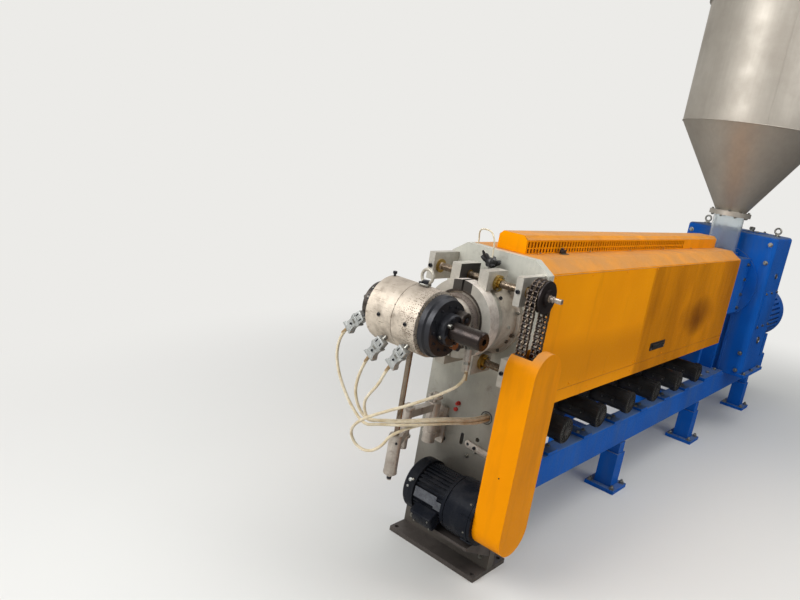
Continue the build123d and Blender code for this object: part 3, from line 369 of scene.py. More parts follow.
# %% [markdown]
# ## Paints
# The covers are powder coated in a warm traffic yellow: a soft gloss, a faint orange-peel skin and
# dust that settles in streaks and on what faces up. The frame and the drive wear a blue machine
# enamel, brushed on thick. The clamp motor is sprayed in a black enamel. All five share one recipe
# with other numbers. Paint is no metal, so its metallic stays at 0 and its IOR at 1.5.

# %% Paints
def paint(name, base, shade, dust, roughness, peel_mm=1.6, dust_level=0.62, settled=None, darkening_and_shade=None):
    """Enamel or powder coat: tone drift, streaks, dust on what faces up, orange-peel skin, soft gloss."""
    material, tree, shader, here = start_finish(name, Metallic=0.0, IOR=1.5, Specular_IOR_Level=0.04)
    drift = add_node(tree, "TexNoise", {"Vector": here, "Scale": per(260), "Detail": 3.0, "Roughness": 0.55})
    tone = add_node(tree, "Mix", {0: drift, 6: colour(base), 7: colour(shade)}, data_type="RGBA")
    film = pattern(tree, here, 120, 6.0, 0.62, ((dust_level - 0.14, grey(0)), (dust_level + 0.16, grey(0.55))),
                   (1.0, 1.0, 0.18))
    tone = add_node(tree, "Mix", {0: film, 6: tone, 7: colour(dust)}, data_type="RGBA")
    if darkening_and_shade:
        tone = add_node(tree, "Mix", {0: cover_darkening_and_shade(tree, here), 6: tone, 7: colour(darkening_and_shade)}, data_type="RGBA")
    if settled:
        normal = add_node(tree, "NewGeometry").outputs["Normal"]
        upward = add_node(tree, "SeparateXYZ", {"Vector": normal}).outputs["Z"]
        lying = add_node(tree, "ValToRGB", {"Fac": upward}, ((0.5, grey(0)), (0.85, grey(0.8))))
        patchy = pattern(tree, here, 150, 5.0, 0.6, ((0.3, grey(0.55)), (0.6, grey(1))))
        share = add_node(tree, "Math", {0: lying, 1: patchy}, operation="MULTIPLY")
        tone = add_node(tree, "Mix", {0: share, 6: tone, 7: colour(settled)}, data_type="RGBA")
    gloss = pattern(tree, here, 9, 2.0, 0.55, ((0.35, grey(roughness - 0.06)), (0.75, grey(roughness + 0.14))))
    peel = add_node(tree, "TexNoise",
                    {"Vector": here, "Scale": per(peel_mm * 2), "Detail": 1.0, "Roughness": 0.55})
    skin = add_node(tree, "Bump", {"Height": peel, "Distance": 0.00005, "Strength": 0.5})
    connect(tree, shader, {"Base Color": tone, "Roughness": gloss, "Normal": skin})
    return material


# Powder coat of the cover's top, its end and the vent box: warm orange-yellow under pale brown dust.
yellow_powder_coat = paint("yellow_powder_coat", "#FAA000", "#EA9000", "#B9701A", 0.36, settled="#B08458")
# The same coat on the chain guard, handled more, so a little duller and browner.
guard_powder_coat = paint("guard_powder_coat", "#EE9500", "#DC8400", "#A86414", 0.36, settled="#B08458")
# The same coat on the side panels: clean in front, darker brown behind the seam, with painted shade low down.
darkened_shaded_cover_coat = paint("darkened_shaded_cover_coat", "#FCA200", "#EE9200", "#B46C08", 0.4, dust_level=0.7,
                          settled="#B08458", darkening_and_shade="#7C4608")
# Brushed machine enamel of the frame and drive: a deep, even blue, greyed by dust where it faces up.
blue_enamel = paint("blue_enamel", "#1463C0", "#0E4A9A", "#4A5F7C", 0.38, settled="#5F6E80")
# Sprayed enamel of the clamp motor: blue-black, the glossiest paint on the machine.
black_enamel = paint("black_enamel", "#15171C", "#1D2027", "#4B4A4B", 0.3, 1.2)
print("paints made")

# %% [markdown]
# ## Bare metals
# The front of this machine is bare steel in many states: a ground plate with oil stains, milled
# clamp halves, turned and oil-blackened flanges, brass nuts. A metal shows its making in fine lines
# along the tool's path, and its age in dull patches. So each one gets stretched noise for the
# lines, a wide noise for the patches and a ramp that turns the patches into stain or rust. A film
# of oil and oxide scatters light, so a dull steel is less metallic than a wiped one.

# %% Recipe for bare metals
def metal(name, base, shade, stain, roughness, lines, line_mm, patch_mm, stain_level, stain_share,
          metallic=1.0, depth_mm=0.02, darker_below=None, grease_and_shade=None):
    """Worked metal. Lines under 1 on an axis stretch the tool lines along it."""
    material, tree, shader, here = start_finish(name, Metallic=metallic)
    patches = add_node(tree, "TexNoise",
                       {"Vector": here, "Scale": per(patch_mm), "Detail": 6.0, "Roughness": 0.6})
    tone = add_node(tree, "ValToRGB", {"Fac": patches}, ((0.3, colour(base)), (0.7, colour(shade))))
    tool_way = add_node(tree, "Mapping", {"Vector": here, "Scale": lines})
    tool_lines = add_node(tree, "TexNoise",
                          {"Vector": tool_way, "Scale": per(line_mm), "Detail": 3.0, "Roughness": 0.6})
    share = add_node(tree, "ValToRGB", {"Fac": tool_lines}, ((0.35, grey(0)), (0.7, grey(0.35))))
    tone = add_node(tree, "Mix", {0: share, 6: tone, 7: colour(shade)}, data_type="RGBA")
    film = pattern(tree, here, patch_mm * 0.45, 8.0, 0.7,
                   ((stain_level - 0.1, grey(0)), (stain_level + 0.08, grey(stain_share))))
    tone = add_node(tree, "Mix", {0: film, 6: tone, 7: colour(stain)}, data_type="RGBA")
    if darker_below:
        low_colour, foot, top = darker_below
        level = add_node(tree, "SeparateXYZ", {"Vector": here}).outputs["Z"]
        reach = add_node(tree, "MapRange", {"Value": level, "From Min": foot, "From Max": top,
                                            "To Min": 0.92, "To Max": 0.0})
        tone = add_node(tree, "Mix", {0: reach, 6: tone, 7: colour(low_colour)}, data_type="RGBA")
    # Between the clamp's ears, near the middle and high up, the colour goes nearly black: grease and painted shade.
    if grease_and_shade:
        grease_and_shade_colour, half_width, foot = grease_and_shade
        place = add_node(tree, "SeparateXYZ", {"Vector": here}).outputs
        across = add_node(tree, "Math", {0: place["X"], 1: middle_x}, operation="SUBTRACT")
        across = add_node(tree, "Math", {0: across}, operation="ABSOLUTE")
        near = add_node(tree, "Math", {0: across, 1: half_width / 1000}, operation="LESS_THAN")
        high = add_node(tree, "Math", {0: place["Z"], 1: foot / 1000}, operation="GREATER_THAN")
        share = add_node(tree, "Math", {0: near, 1: high}, operation="MULTIPLY")
        share = add_node(tree, "Math", {0: share, 1: 0.92}, operation="MULTIPLY")
        tone = add_node(tree, "Mix", {0: share, 6: tone, 7: colour(grease_and_shade_colour)}, data_type="RGBA")
    rough = add_node(tree, "ValToRGB", {"Fac": patches},
                     ((0.25, grey(roughness - 0.1)), (0.75, grey(roughness + 0.16))))
    relief = add_node(tree, "Bump", {"Height": tool_lines, "Distance": depth_mm / 1000, "Strength": 0.6})
    connect(tree, shader, {"Base Color": tone, "Roughness": rough, "Normal": relief})
    return material


print("recipe for bare metals is ready")

# %% Steels of the plate, clamp and crosshead
# Ground plate: pale grey, hardly shiny, and darker towards the bottom.
ground_plate_steel = metal("ground_plate_steel", "#CDCBBF", "#B2B2A8", "#77695A", roughness=0.46,
                           lines=(1.0, 1.0, 0.12), line_mm=9.0, patch_mm=110.0, stain_level=0.66,
                           stain_share=0.5, metallic=0.3, darker_below=("#3E3630", 0.25, 0.98))
# Its foot and the motor's shelf: the same plate, nearly black.
dark_base_steel = metal("dark_base_steel", "#56504B", "#423C39", "#2C2623", roughness=0.5,
                        lines=(1.0, 1.0, 0.12), line_mm=9.0, patch_mm=110.0, stain_level=0.62,
                        stain_share=0.6, metallic=0.3)
# Milled clamp halves and bearing blocks: light grey, with black grease and painted shade where the ears meet.
milled_clamp_steel = metal("milled_clamp_steel", "#CCC7BD", "#A9A49A", "#8A6B4A", roughness=0.38,
                           lines=(0.1, 1.0, 1.0), line_mm=5.0, patch_mm=45.0, stain_level=0.72,
                           stain_share=0.6, metallic=0.45, grease_and_shade=("#241F1E", 40.6, LINE + 100))
# Turned barrel and crosshead: warm grey with brown heat stains.
turned_steel = metal("turned_steel", "#DDD4C8", "#B4A89A", "#6E4E36", roughness=0.36,
                     lines=(1.0, 9.0, 1.0), line_mm=6.0, patch_mm=40.0, stain_level=0.68,
                     stain_share=0.65, metallic=0.45)
# Swing arm: machined all over and kept oiled, so smooth and a little brown.
machined_arm_steel = metal("machined_arm_steel", "#D3CBC2", "#A0968C", "#5A483A", roughness=0.34,
                           lines=(1.0, 1.0, 0.15), line_mm=6.0, patch_mm=60.0, stain_level=0.62,
                           stain_share=0.6, metallic=0.5)
# Oil-blackened flange: blue-black with a soft sheen round its edges.
oil_blackened_steel = metal("oil_blackened_steel", "#1C1D22", "#292A30", "#3A3029", roughness=0.38,
                            lines=(9.0, 1.0, 1.0), line_mm=7.0, patch_mm=24.0, stain_level=0.78,
                            stain_share=0.5, metallic=0.35)
# Core tube: browned by heat, smooth, with a long highlight.
heat_browned_steel = metal("heat_browned_steel", "#342A26", "#241E1D", "#54402F", roughness=0.28,
                           lines=(9.0, 1.0, 1.0), line_mm=6.0, patch_mm=30.0, stain_level=0.7,
                           stain_share=0.6, metallic=0.6)
# Nose ring and bosses: dark grey turned steel with burnt-on plastic.
# The same steel colours the painted shadow ring inside the clamp's front.
nose_steel = metal("nose_steel", "#6E6862", "#433D3A", "#2A2220", roughness=0.3,
                   lines=(6.0, 1.0, 1.0), line_mm=6.0, patch_mm=26.0, stain_level=0.6,
                   stain_share=0.7, metallic=0.85)
# The clamp's outer band: near-white, a painted highlight round it.
painted_highlight_steel = metal("painted_highlight_steel", "#F0E8DE", "#C8BCB0", "#6A5444", roughness=0.34,
                         lines=(1.0, 9.0, 1.0), line_mm=5.0, patch_mm=24.0, stain_level=0.66,
                         stain_share=0.6, metallic=0.1)
# One old nut under the flange: rough orange-brown rust.
rusted_nut_steel = metal("rusted_nut_steel", "#8E5424", "#6A3C1C", "#3A2416", roughness=0.55,
                         lines=(1.0, 1.0, 1.0), line_mm=4.0, patch_mm=12.0, stain_level=0.6,
                         stain_share=0.6, metallic=0.3)
print("steels of the plate, clamp and crosshead made")

# %% Steels of the drive, brass, zinc and aluminium
# Chain wheels: blackened, with a dull brown bloom.
wheel_black_steel = metal("wheel_black_steel", "#221B1C", "#2C2423", "#4A382B", roughness=0.42,
                          lines=(1.0, 1.0, 1.0), line_mm=6.0, patch_mm=30.0, stain_level=0.7,
                          stain_share=0.5, metallic=0.5)
# Thread flanks: steel under a brown film of grease.
greased_screw_steel = metal("greased_screw_steel", "#A49684", "#6E6052", "#3C3026", roughness=0.28,
                            lines=(6.0, 1.0, 1.0), line_mm=4.0, patch_mm=24.0, stain_level=0.6,
                            stain_share=0.7, metallic=0.9)
# Plain ends of the screws: worn bright.
bright_screw_steel = metal("bright_screw_steel", "#CBBFB2", "#9A8C80", "#5E4638", roughness=0.28,
                           lines=(8.0, 1.0, 1.0), line_mm=5.0, patch_mm=24.0, stain_level=0.66,
                           stain_share=0.7, metallic=0.8)
# Support rod: polished, so it mirrors what is round it in one narrow streak.
polished_rod_steel = metal("polished_rod_steel", "#B0A292", "#7E7064", "#5E4C3E", roughness=0.2,
                           lines=(1.0, 1.0, 0.1), line_mm=8.0, patch_mm=70.0, stain_level=0.7,
                           stain_share=0.5, metallic=0.95)
# Eyebolt: whitened with old paint over forged steel.
white_eyebolt_paint = metal("white_eyebolt_paint", "#C2BCAE", "#9E978A", "#6E5A48", roughness=0.42,
                            lines=(1.0, 1.0, 1.0), line_mm=4.0, patch_mm=24.0, stain_level=0.66,
                            stain_share=0.7, metallic=0.3)
# Nuts and bushes: cast brass, yellow on the edges and dark in the corners.
cast_nut_brass = metal("cast_nut_brass", "#BFA25E", "#93783E", "#4C3A1C", roughness=0.3,
                       lines=(8.0, 1.0, 1.0), line_mm=5.0, patch_mm=26.0, stain_level=0.66, stain_share=0.6)
# Roller chain: pressed plates with old grease, glinting at the edges.
chain_steel = metal("chain_steel", "#77695A", "#4A3F36", "#5E4430", roughness=0.34,
                    lines=(1.0, 1.0, 1.0), line_mm=3.0, patch_mm=16.0, stain_level=0.6,
                    stain_share=0.6, metallic=0.8)
# Rating plates: sheet aluminium gone grey.
tarnished_plate = metal("tarnished_plate", "#7C8088", "#5E626C", "#3E3A38", roughness=0.36,
                        lines=(1.0, 1.0, 1.0), line_mm=4.0, patch_mm=18.0, stain_level=0.62, stain_share=0.6)
# Bolts: zinc plate, dulled to a warm grey.
zinc_bolt_steel = metal("zinc_bolt_steel", "#9E9E98", "#7C7A74", "#4A3626", roughness=0.34,
                        lines=(1.0, 1.0, 1.0), line_mm=4.0, patch_mm=18.0, stain_level=0.7, stain_share=0.7)
# Plug housings and barrel jackets: cast aluminium with a sandy skin.
cast_aluminium = metal("cast_aluminium", "#C4C6C4", "#9EA09E", "#5E5A56", roughness=0.42,
                       lines=(1.0, 1.0, 1.0), line_mm=2.6, patch_mm=14.0, stain_level=0.6,
                       stain_share=0.6, metallic=0.6, depth_mm=0.05)
# Hopper: rolled stainless sheet, brushed upright, with broad soft bands of reflection.
hopper_stainless = metal("hopper_stainless", "#BAB4AA", "#A39C92", "#948C82", roughness=0.5,
                         lines=(1.0, 1.0, 0.05), line_mm=16.0, patch_mm=300.0, stain_level=0.76,
                         stain_share=0.4, metallic=0.7)
print("steels of the drive, brass, zinc and aluminium made")

# %% [markdown]
# ## Heater stainless
# The two band heaters round the crosshead wear a thin stainless jacket. Hot plastic and wiping have
# left a cream bloom on it, and the edge by the flange is burnt: dark brown flakes in rows, where
# the jacket's embossed dimples held them. The bloom is noise. The burn follows a mask along X that
# fades away from the flange, broken up by cells the size of the dimples. Scratches run along X,
# and what faces up is painted darker, as shade.

# %% Heater stainless
BURN = (-80.0, 22.0)        # along X: the burn grows from the first place to the second
NECK_START = 112.0          # along Y: behind this the jacket is dull and grey


def heater_finish():
    """Stainless jacket: bloom all over, a dimpled burn by the flange, a dull neck behind."""
    material, tree, shader, here = start_finish("heater_stainless", Metallic=0.5)
    place = add_node(tree, "SeparateXYZ", {"Vector": here}).outputs
    bloom = add_node(tree, "TexNoise", {"Vector": here, "Scale": per(45), "Detail": 7.0, "Roughness": 0.65})
    tone = add_node(tree, "ValToRGB", {"Fac": bloom},
                    ((0.28, colour("#9C9082")), (0.5, colour("#CDC1B1")), (0.74, colour("#DFD4C6"))))

    cells = add_node(tree, "TexVoronoi", {"Vector": here, "Scale": per(7.0), "Randomness": 0.55}, feature="F1")
    dimples = add_node(tree, "ValToRGB", {"Fac": cells}, ((0.18, grey(1)), (0.42, grey(0))))
    reach = add_node(tree, "MapRange", {"Value": place["X"], "From Min": at(BURN[0], 0, 0).x,
                                        "From Max": at(BURN[1], 0, 0).x})
    flakes = add_node(tree, "TexNoise", {"Vector": here, "Scale": per(26), "Detail": 5.0, "Roughness": 0.7})
    burn = add_node(tree, "Math", {0: reach, 1: flakes}, operation="MULTIPLY")
    burn = add_node(tree, "ValToRGB", {"Fac": burn}, ((0.1, grey(0)), (0.34, grey(1))))
    share = add_node(tree, "Math", {0: burn, 1: dimples}, operation="MULTIPLY")
    tone = add_node(tree, "Mix", {0: share, 6: tone, 7: colour("#4A3322")}, data_type="RGBA")

    streaks = pattern(tree, here, 18, 6.0, 0.7, ((0.60, grey(0)), (0.69, grey(0.75))), (0.5, 1.0, 1.0))
    tone = add_node(tree, "Mix", {0: streaks, 6: tone, 7: colour("#7A6450")}, data_type="RGBA")
    scratches = pattern(tree, here, 7, 5.0, 0.75, ((0.63, grey(0)), (0.67, grey(0.85))), (0.12, 1.0, 1.0))
    tone = add_node(tree, "Mix", {0: scratches, 6: tone, 7: colour("#54402F")}, data_type="RGBA")

    neck = at(0, NECK_START, 0).y
    rear = add_node(tree, "MapRange", {"Value": place["Y"], "From Min": neck, "From Max": neck + 0.012,
                                       "To Min": 0.0, "To Max": 0.8})
    tone = add_node(tree, "Mix", {0: rear, 6: tone, 7: colour("#6E6360")}, data_type="RGBA")
    # What faces up is painted darker: painted shade on the jacket's top.
    normal = add_node(tree, "NewGeometry").outputs["Normal"]
    upward = add_node(tree, "SeparateXYZ", {"Vector": normal}).outputs["Z"]
    lying = add_node(tree, "ValToRGB", {"Fac": upward}, ((0.45, grey(0)), (0.95, grey(0.55))))
    tone = add_node(tree, "Mix", {0: lying, 6: tone, 7: colour("#8A7E72")}, data_type="RGBA")

    rough = add_node(tree, "ValToRGB", {"Fac": bloom}, ((0.3, grey(0.46)), (0.7, grey(0.66))))
    fine = add_node(tree, "TexNoise", {"Vector": here, "Scale": per(11), "Detail": 6.0, "Roughness": 0.75})
    wide = add_node(tree, "TexNoise", {"Vector": here, "Scale": per(30), "Detail": 3.0, "Roughness": 0.55})
    crumple = add_node(tree, "Mix", {0: 0.5, 6: fine, 7: wide}, data_type="RGBA")
    crumple = add_node(tree, "Mix", {0: 0.35, 6: crumple, 7: dimples}, data_type="RGBA")
    relief = add_node(tree, "Bump", {"Height": crumple, "Distance": 0.0009, "Strength": 0.7})
    connect(tree, shader, {"Base Color": tone, "Roughness": rough, "Normal": relief})
    return material


heater_stainless = heater_finish()
print("heater jacket made")

# %% [markdown]
# ## Plastics, glass and sleeving
# The blowers and the sensor's knob are black moulded plastic. The tube under the hopper is clear
# acrylic. The leads wear woven glass-fibre sleeving, cream where it is clean and tan where it has
# been near the heat: a braid of crossing threads, drawn with two wave patterns that cross.

# %% Moulded plastics
def moulded(name, base, shade, roughness):
    """Moulded plastic: a fine spark-eroded grain and dust."""
    material, tree, shader, here = start_finish(name, Metallic=0.0, IOR=1.46)
    tone = pattern(tree, here, 60, 5.0, 0.6, ((0.35, colour(base)), (0.72, colour(shade))))
    rough = pattern(tree, here, 20, 3.0, 0.55, ((0.3, grey(roughness - 0.08)), (0.7, grey(roughness + 0.12))))
    grain = add_node(tree, "TexNoise", {"Vector": here, "Scale": per(1.2), "Detail": 1.0, "Roughness": 0.55})
    relief = add_node(tree, "Bump", {"Height": grain, "Distance": 0.00006, "Strength": 0.5})
    connect(tree, shader, {"Base Color": tone, "Roughness": rough, "Normal": relief})
    return material


# Nylon of the blowers, handles and knob: black, with grey dust and a weak sheen.
black_plastic = moulded("black_plastic", "#141416", "#2B2A2A", 0.42)
# Silicone of the plugs' seals and the caps on the plate: a dull clear red.
red_silicone = moulded("red_silicone", "#B32C22", "#8C2219", 0.5)
# Rubber guards of the leads, browned by the heat: matt tan.
tan_sleeve = moulded("tan_sleeve", "#A58A64", "#7D6647", 0.7)
print("moulded plastics made")

# %% Clear tube and woven sleeves
THREAD = 1.2            # distance of two threads of the glass braid


def clear_acrylic():
    """Clear tube, scratched and dusty inside from the granules that slide down it."""
    material, tree, shader, here = start_finish("clear_acrylic", Metallic=0.0, IOR=1.49,
                                                Transmission_Weight=0.92, Base_Color=colour("#E9EEF0"))
    scratches = pattern(tree, here, 14, 5.0, 0.6, ((0.4, grey(0.04)), (0.75, grey(0.3))), (1.0, 1.0, 0.1))
    connect(tree, shader, {"Roughness": scratches})
    return material


def glass_sleeving(name, base, shade):
    """Woven glass-fibre sleeve: threads that cross, and heat-tanned patches."""
    material, tree, shader, here = start_finish(name, Metallic=0.0, Roughness=0.78, Sheen_Weight=0.3,
                                                Sheen_Roughness=0.5)
    tone = pattern(tree, here, 34, 5.0, 0.62, ((0.34, colour(base)), (0.68, colour(shade))))
    crossing = add_node(tree, "Mapping", {"Vector": here, "Scale": (-1, 1, -1)})
    threads = [add_node(tree, "TexWave",
                        {"Vector": way, "Scale": per(THREAD) / math.tau * 2, "Distortion": 0.6, "Detail": 1.0},
                        wave_type="BANDS", bands_direction="DIAGONAL").outputs["Fac"]
               for way in (here, crossing)]
    weave = add_node(tree, "Math", {0: threads[0], 1: threads[1]}, operation="MAXIMUM")
    gaps = add_node(tree, "ValToRGB", {"Fac": weave}, ((0.3, grey(0.3)), (0.8, grey(0))))
    tone = add_node(tree, "Mix", {0: gaps, 6: tone, 7: colour("#8B7B60")}, data_type="RGBA")
    relief = add_node(tree, "Bump", {"Height": weave, "Distance": 0.00025, "Strength": 0.8})
    connect(tree, shader, {"Base Color": tone, "Normal": relief})
    return material


# Acrylic tube under the hopper: nearly colourless, with milky upright scratches.
hopper_acrylic = clear_acrylic()
# Sleeves of the heater leads: matt cream, tan in patches.
cream_sleeving = glass_sleeving("cream_sleeving", "#E2D6BC", "#C4B08A")
print("clear tube and sleeves made")

# %% [markdown]
# ## Leads
# Each heater is fed by two wires in one glass-fibre sleeve. The leads leave the plugs, hang in a
# loose loop in front of the swing arm and run as a bundle of four into the hole in the plate. A
# lead is one smooth NURBS curve whose control points are the route of the CAD tube, so it hangs
# where the solid lies. The order is set after the points, because set before them it would stay
# at straight runs.

# %% Routes of the leads
BUNDLE = 6.5            # half the distance between two leads in the bundle


def bundled(side, rise):
    """The common run of the bundle into the plate, for the lead at one corner of the square."""
    wide, high = BUNDLE * side, BUNDLE * rise
    return [(-90, -70 - wide, 612 + high), (-20, -50 - wide, 632 + high),
            (40 + 4.5 * side, 20 - 4.6 * side, 645 + high), (70 + wide, 120, 640 + high),
            (82 + wide, 220, 622 + high), (82 + wide, 300, 608 + high), (82 + wide, 396, 608 + high)]


lead_routes = {
    "heater_lead_1": [(-280, -99.4, 907.1), (-307.8, -103.6, 875.9), (-322, -100, 800), (-300, -98, 735),
                      (-262, -92, 672), (-212, -86, 618), (-150, -81.5, 578.5), *bundled(1, -1)],
    "heater_lead_2": [(-150.6, -107.7, 847), (-169.3, -109.5, 816.3), (-196, -104, 745), (-204, -98, 690),
                      (-190, -84, 632), (-150, -68.5, 591.5), *bundled(-1, 1)],
    "heater_lead_3": [(-50.6, -107.7, 847), (-69.3, -109.5, 816.3), (-92, -108, 760), (-128, -100, 716),
                      (-164, -90, 664), (-146, -82, 606), *bundled(1, 1)],
    "heater_lead_4": [(100.3, 120.1, 842.8), (109.6, 113.4, 802.4), (72, 30, 758), (18, -45, 716),
                      (-46, -100, 676), (-112, -122, 632), (-168, -118, 582), (-196, -98, 530),
                      (-172, -80, 486), (-118, -72, 484), (-66, -66, 528), (-42, -58, 584),
                      *bundled(-1, -1)[2:]],
}
sensor_route = [(2, 300, 1220), (2, 300, 1250), (-5, 304, 1286), (-32, 318, 1310), (-72, 338, 1310),
                (-108, 360, 1304), (-130, 384, 1286), (-133, 395, 1262), (-133, 395, 1244.3)]
print("routes of", len(lead_routes) + 1, "leads")

# %% Leads
def lay_cord(name, route, diameter, material):
    """A free lead along its route, measured."""
    curve = bpy.data.curves.new(name, "CURVE")
    curve.dimensions = "3D"
    curve.resolution_u = 10
    spline = curve.splines.new("NURBS")
    spline.points.add(len(route) - 1)
    for point, place in zip(spline.points, route):
        point.co = (*at(*place), 1.0)
    spline.order_u = 3
    spline.use_endpoint_u = True
    lead = bpy.data.objects.new(name + "_sleeved", curve)
    bpy.context.scene.collection.objects.link(lead)
    line = bpy.data.meshes.new_from_object(lead)
    ends = [[line.vertices[index].co for index in edge.vertices] for edge in line.edges]
    length = sum((first - second).length for first, second in ends)
    curve.bevel_depth = diameter / 2000
    curve.bevel_resolution = 4
    curve.use_fill_caps = True
    curve.materials.append(material)
    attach(lead, "machine")
    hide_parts(name)
    tuple(at(*route[0]))
    print(name, "is", round(length, 3), "m long")


for lead_name, lead_route in lead_routes.items():
    lay_cord(lead_name, lead_route, 11.0, cream_sleeving)
lay_cord("sensor_cable", sensor_route, 6.0, cream_sleeving)

# %% [markdown]
# ## Finishes of the CAD pieces
# Most CAD solids already have the right shape, so they stay and take a material. The lists below
# read like a painter's order: which finish, and which pieces get it.

# %% Finishes of the CAD pieces
orders = [
    (guard_powder_coat, ["chain_guard"]),
    (yellow_powder_coat, ["cover_top", "cover_end_sheet", "vent_box"]),
    (darkened_shaded_cover_coat, ["cover_panels_right", "cover_panels_left"]),
    (blue_enamel, ["blower_mounts", "base_beams", "base_trestles", "feed_throat", "gearbox", "drive_motor",
                   "drive_cowl", "drive_mount"]),
    (black_enamel, ["clamp_motor", "clamp_motor_cowl", "clamp_gearhead", "clamp_motor_box"]),
    (ground_plate_steel, ["front_plate"]),
    (dark_base_steel, ["plate_foot", "motor_shelf"]),
    (machined_arm_steel, ["arm_bracket", "swing_links", "support_sleeve"]),
    (milled_clamp_steel, ["clamp_half_right", "clamp_half_left", "bearing_blocks"]),
    (turned_steel, ["barrel", "barrel_head", "crosshead_neck", "crosshead_body"]),
    (nose_steel, ["nose_ring"]),
    (oil_blackened_steel, ["core_flange", "melt_sensor"]),
    (heat_browned_steel, ["core_tube"]),
    (greased_screw_steel, ["lead_screw_lower"]),
    (polished_rod_steel, ["support_rod"]),
    (bright_screw_steel, ["lead_screw_upper"]),
    (white_eyebolt_paint, ["eyebolt"]),
    (cast_nut_brass, ["screw_nuts_right", "screw_nuts_left", "screw_bushes"]),
    (chain_steel, ["screw_chain"]),
    (wheel_black_steel, ["chain_wheel_upper", "chain_wheel_lower"]),
    (heater_stainless, ["heater_bands"]),
    (cast_aluminium, ["heater_plugs", "barrel_jackets"]),
    (black_plastic, ["blowers"]),
    (hopper_stainless, ["hopper", "hopper_cone", "hopper_lid"]),
    (hopper_acrylic, ["hopper_window"]),
]
for material, nodes in orders:
    for node in nodes:
        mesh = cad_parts[node].data
        mesh.materials.clear()
        mesh.materials.append(material)
print("finished", sum(len(nodes) for _, nodes in orders), "of", len(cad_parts), "nodes")

# %% [markdown]
# ## Roller chain
# The two clamp screws are tied together by a duplex roller chain: two strands of rollers on long
# pins, with link plates between. A band with a chain picture on it would look flat, so every plate
# is a real one. One plate is shaped once and stamped along the loop: 48 pitches of 19.05 mm, half a
# turn round each 17-tooth wheel and two straight runs between, which fixes where the wheels sit.

# %% Stamping copies of one shape
def shape_of(work, name):
    """Close a bmesh into a bare mesh for stamping."""
    bmesh.ops.remove_doubles(work, verts=work.verts, dist=0.00001)
    bmesh.ops.recalc_face_normals(work, faces=work.faces)
    shape = bpy.data.meshes.new(name)
    work.to_mesh(shape)
    work.free()
    return shape


def stamp(work, shape, matrix):
    """Add a copy of a finished small mesh to a bmesh, turned and moved by a matrix."""
    moved = shape.copy()
    moved.transform(matrix)
    work.from_mesh(moved)
    bpy.data.meshes.remove(moved)


print("stamping is ready")

# %% Loop of the chain
PITCH, TEETH, LINKS = 19.05, 17, 48
SCREW_Y = 242.0         # depth of the two screws and of the motor
WHEEL = PITCH / (2 * math.sin(math.pi / TEETH))         # pitch radius
RUN, WRAP = (LINKS - TEETH) / 2, TEETH / 2              # links on a straight run and round a wheel
screw_levels = (LINE + PITCH * RUN / 2, LINE - PITCH * RUN / 2)


def chain_place(count):
    """Point (y, z) of a pin on the loop, counted in pitches from the upper wheel's front."""
    step = math.tau / TEETH
    if count <= WRAP:
        angle = math.pi - count * step
        return SCREW_Y + WHEEL * math.cos(angle), screw_levels[0] + WHEEL * math.sin(angle)
    if count <= WRAP + RUN:
        return SCREW_Y + WHEEL, screw_levels[0] - (count - WRAP) * PITCH
    if count <= 2 * WRAP + RUN:
        angle = -(count - WRAP - RUN) * step
        return SCREW_Y + WHEEL * math.cos(angle), screw_levels[1] + WHEEL * math.sin(angle)
    return SCREW_Y - WHEEL, screw_levels[1] + (count - 2 * WRAP - RUN) * PITCH


print("screws at", screw_levels)

# %% Chain links, rollers and pins
CHAIN_X, STRAND = 257.0, 19.46          # middle of the chain along X, distance of its strands
PLATE_THICK = 1.8
INNER, OUTER = 5.75, 7.6                # half the gap between two inner and two outer plates


def link_plate():
    """One waisted link plate along X, with its holes' centres a pitch apart."""
    work = bmesh.new()
    rim = bmesh.ops.create_circle(work, cap_ends=True, segments=14, radius=0.008)["verts"]
    for side in (-1, 1):
        half = [vert for vert in rim if vert.co.x * side > 0]
        bmesh.ops.translate(work, vec=(side * PITCH / 2000, 0, 0), verts=half)
    long_edges = [edge for edge in work.edges if edge.calc_length() > PITCH / 1500]
    waist = bmesh.ops.subdivide_edges(work, edges=long_edges, cuts=1)["geom_inner"]
    bmesh.ops.scale(work, vec=(1, 0.7, 1), verts=vertices_in(waist))
    raised = bmesh.ops.extrude_face_region(work, geom=list(work.faces))["geom"]
    bmesh.ops.translate(work, vec=UP * PLATE_THICK / 1000, verts=vertices_in(raised))
    return shape_of(work, "link_plate")


plate_shape = link_plate()
chain_work = bmesh.new()
for link in range(LINKS):
    (y0, z0), (y1, z1) = chain_place(link), chain_place(link + 1)
    run = Vector((0, y1 - y0, z1 - z0))
    gap = INNER if link % 2 else OUTER
    for strand in (-STRAND / 2, STRAND / 2):
        for left in (strand - gap - PLATE_THICK, strand + gap):
            middle = at(CHAIN_X + left, (y0 + y1) / 2, (z0 + z1) / 2)
            stamp(chain_work, plate_shape, axes(middle, run, ALONG))
        roller = [(0, -5.5), (6, -5.5), (6, 5.5), (0, 5.5)]
        turned(chain_work, roller, at(CHAIN_X + strand, y0, z0), ALONG, 14, 1)
    pin = [(0, -20.6), (2.4, -20.6), (2.86, -20.1), (2.86, 20.1), (2.4, 20.6), (0, 20.6)]
    turned(chain_work, pin, at(CHAIN_X, y0, z0), ALONG, 10, 1)
roller_chain = finish_piece(chain_work, "roller_chain", "machine", [chain_steel, heat_browned_steel])
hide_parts("screw_chain")

# %% [markdown]
# ## Lead screws
# Each clamp screw has a coarse rounded thread between its bearings, greased and worn bright on the
# crests, and plain turned ends. A thread is a helix. So one pitch of the thread's outline is spun
# round the screw with a step along it at every turn: the same spin that turns a vase, plus a
# travel. The upper screw ends in a worn square for a crank.

# %% Lead screws
THREAD_FROM, THREAD_TURNS, SCREW_LEAD = -170.0, 28, 12.0
THREAD_TO = THREAD_FROM + SCREW_LEAD * (THREAD_TURNS + 1)
CREST, ROOT = 14.0, 11.9
WHEEL_END = 294.13


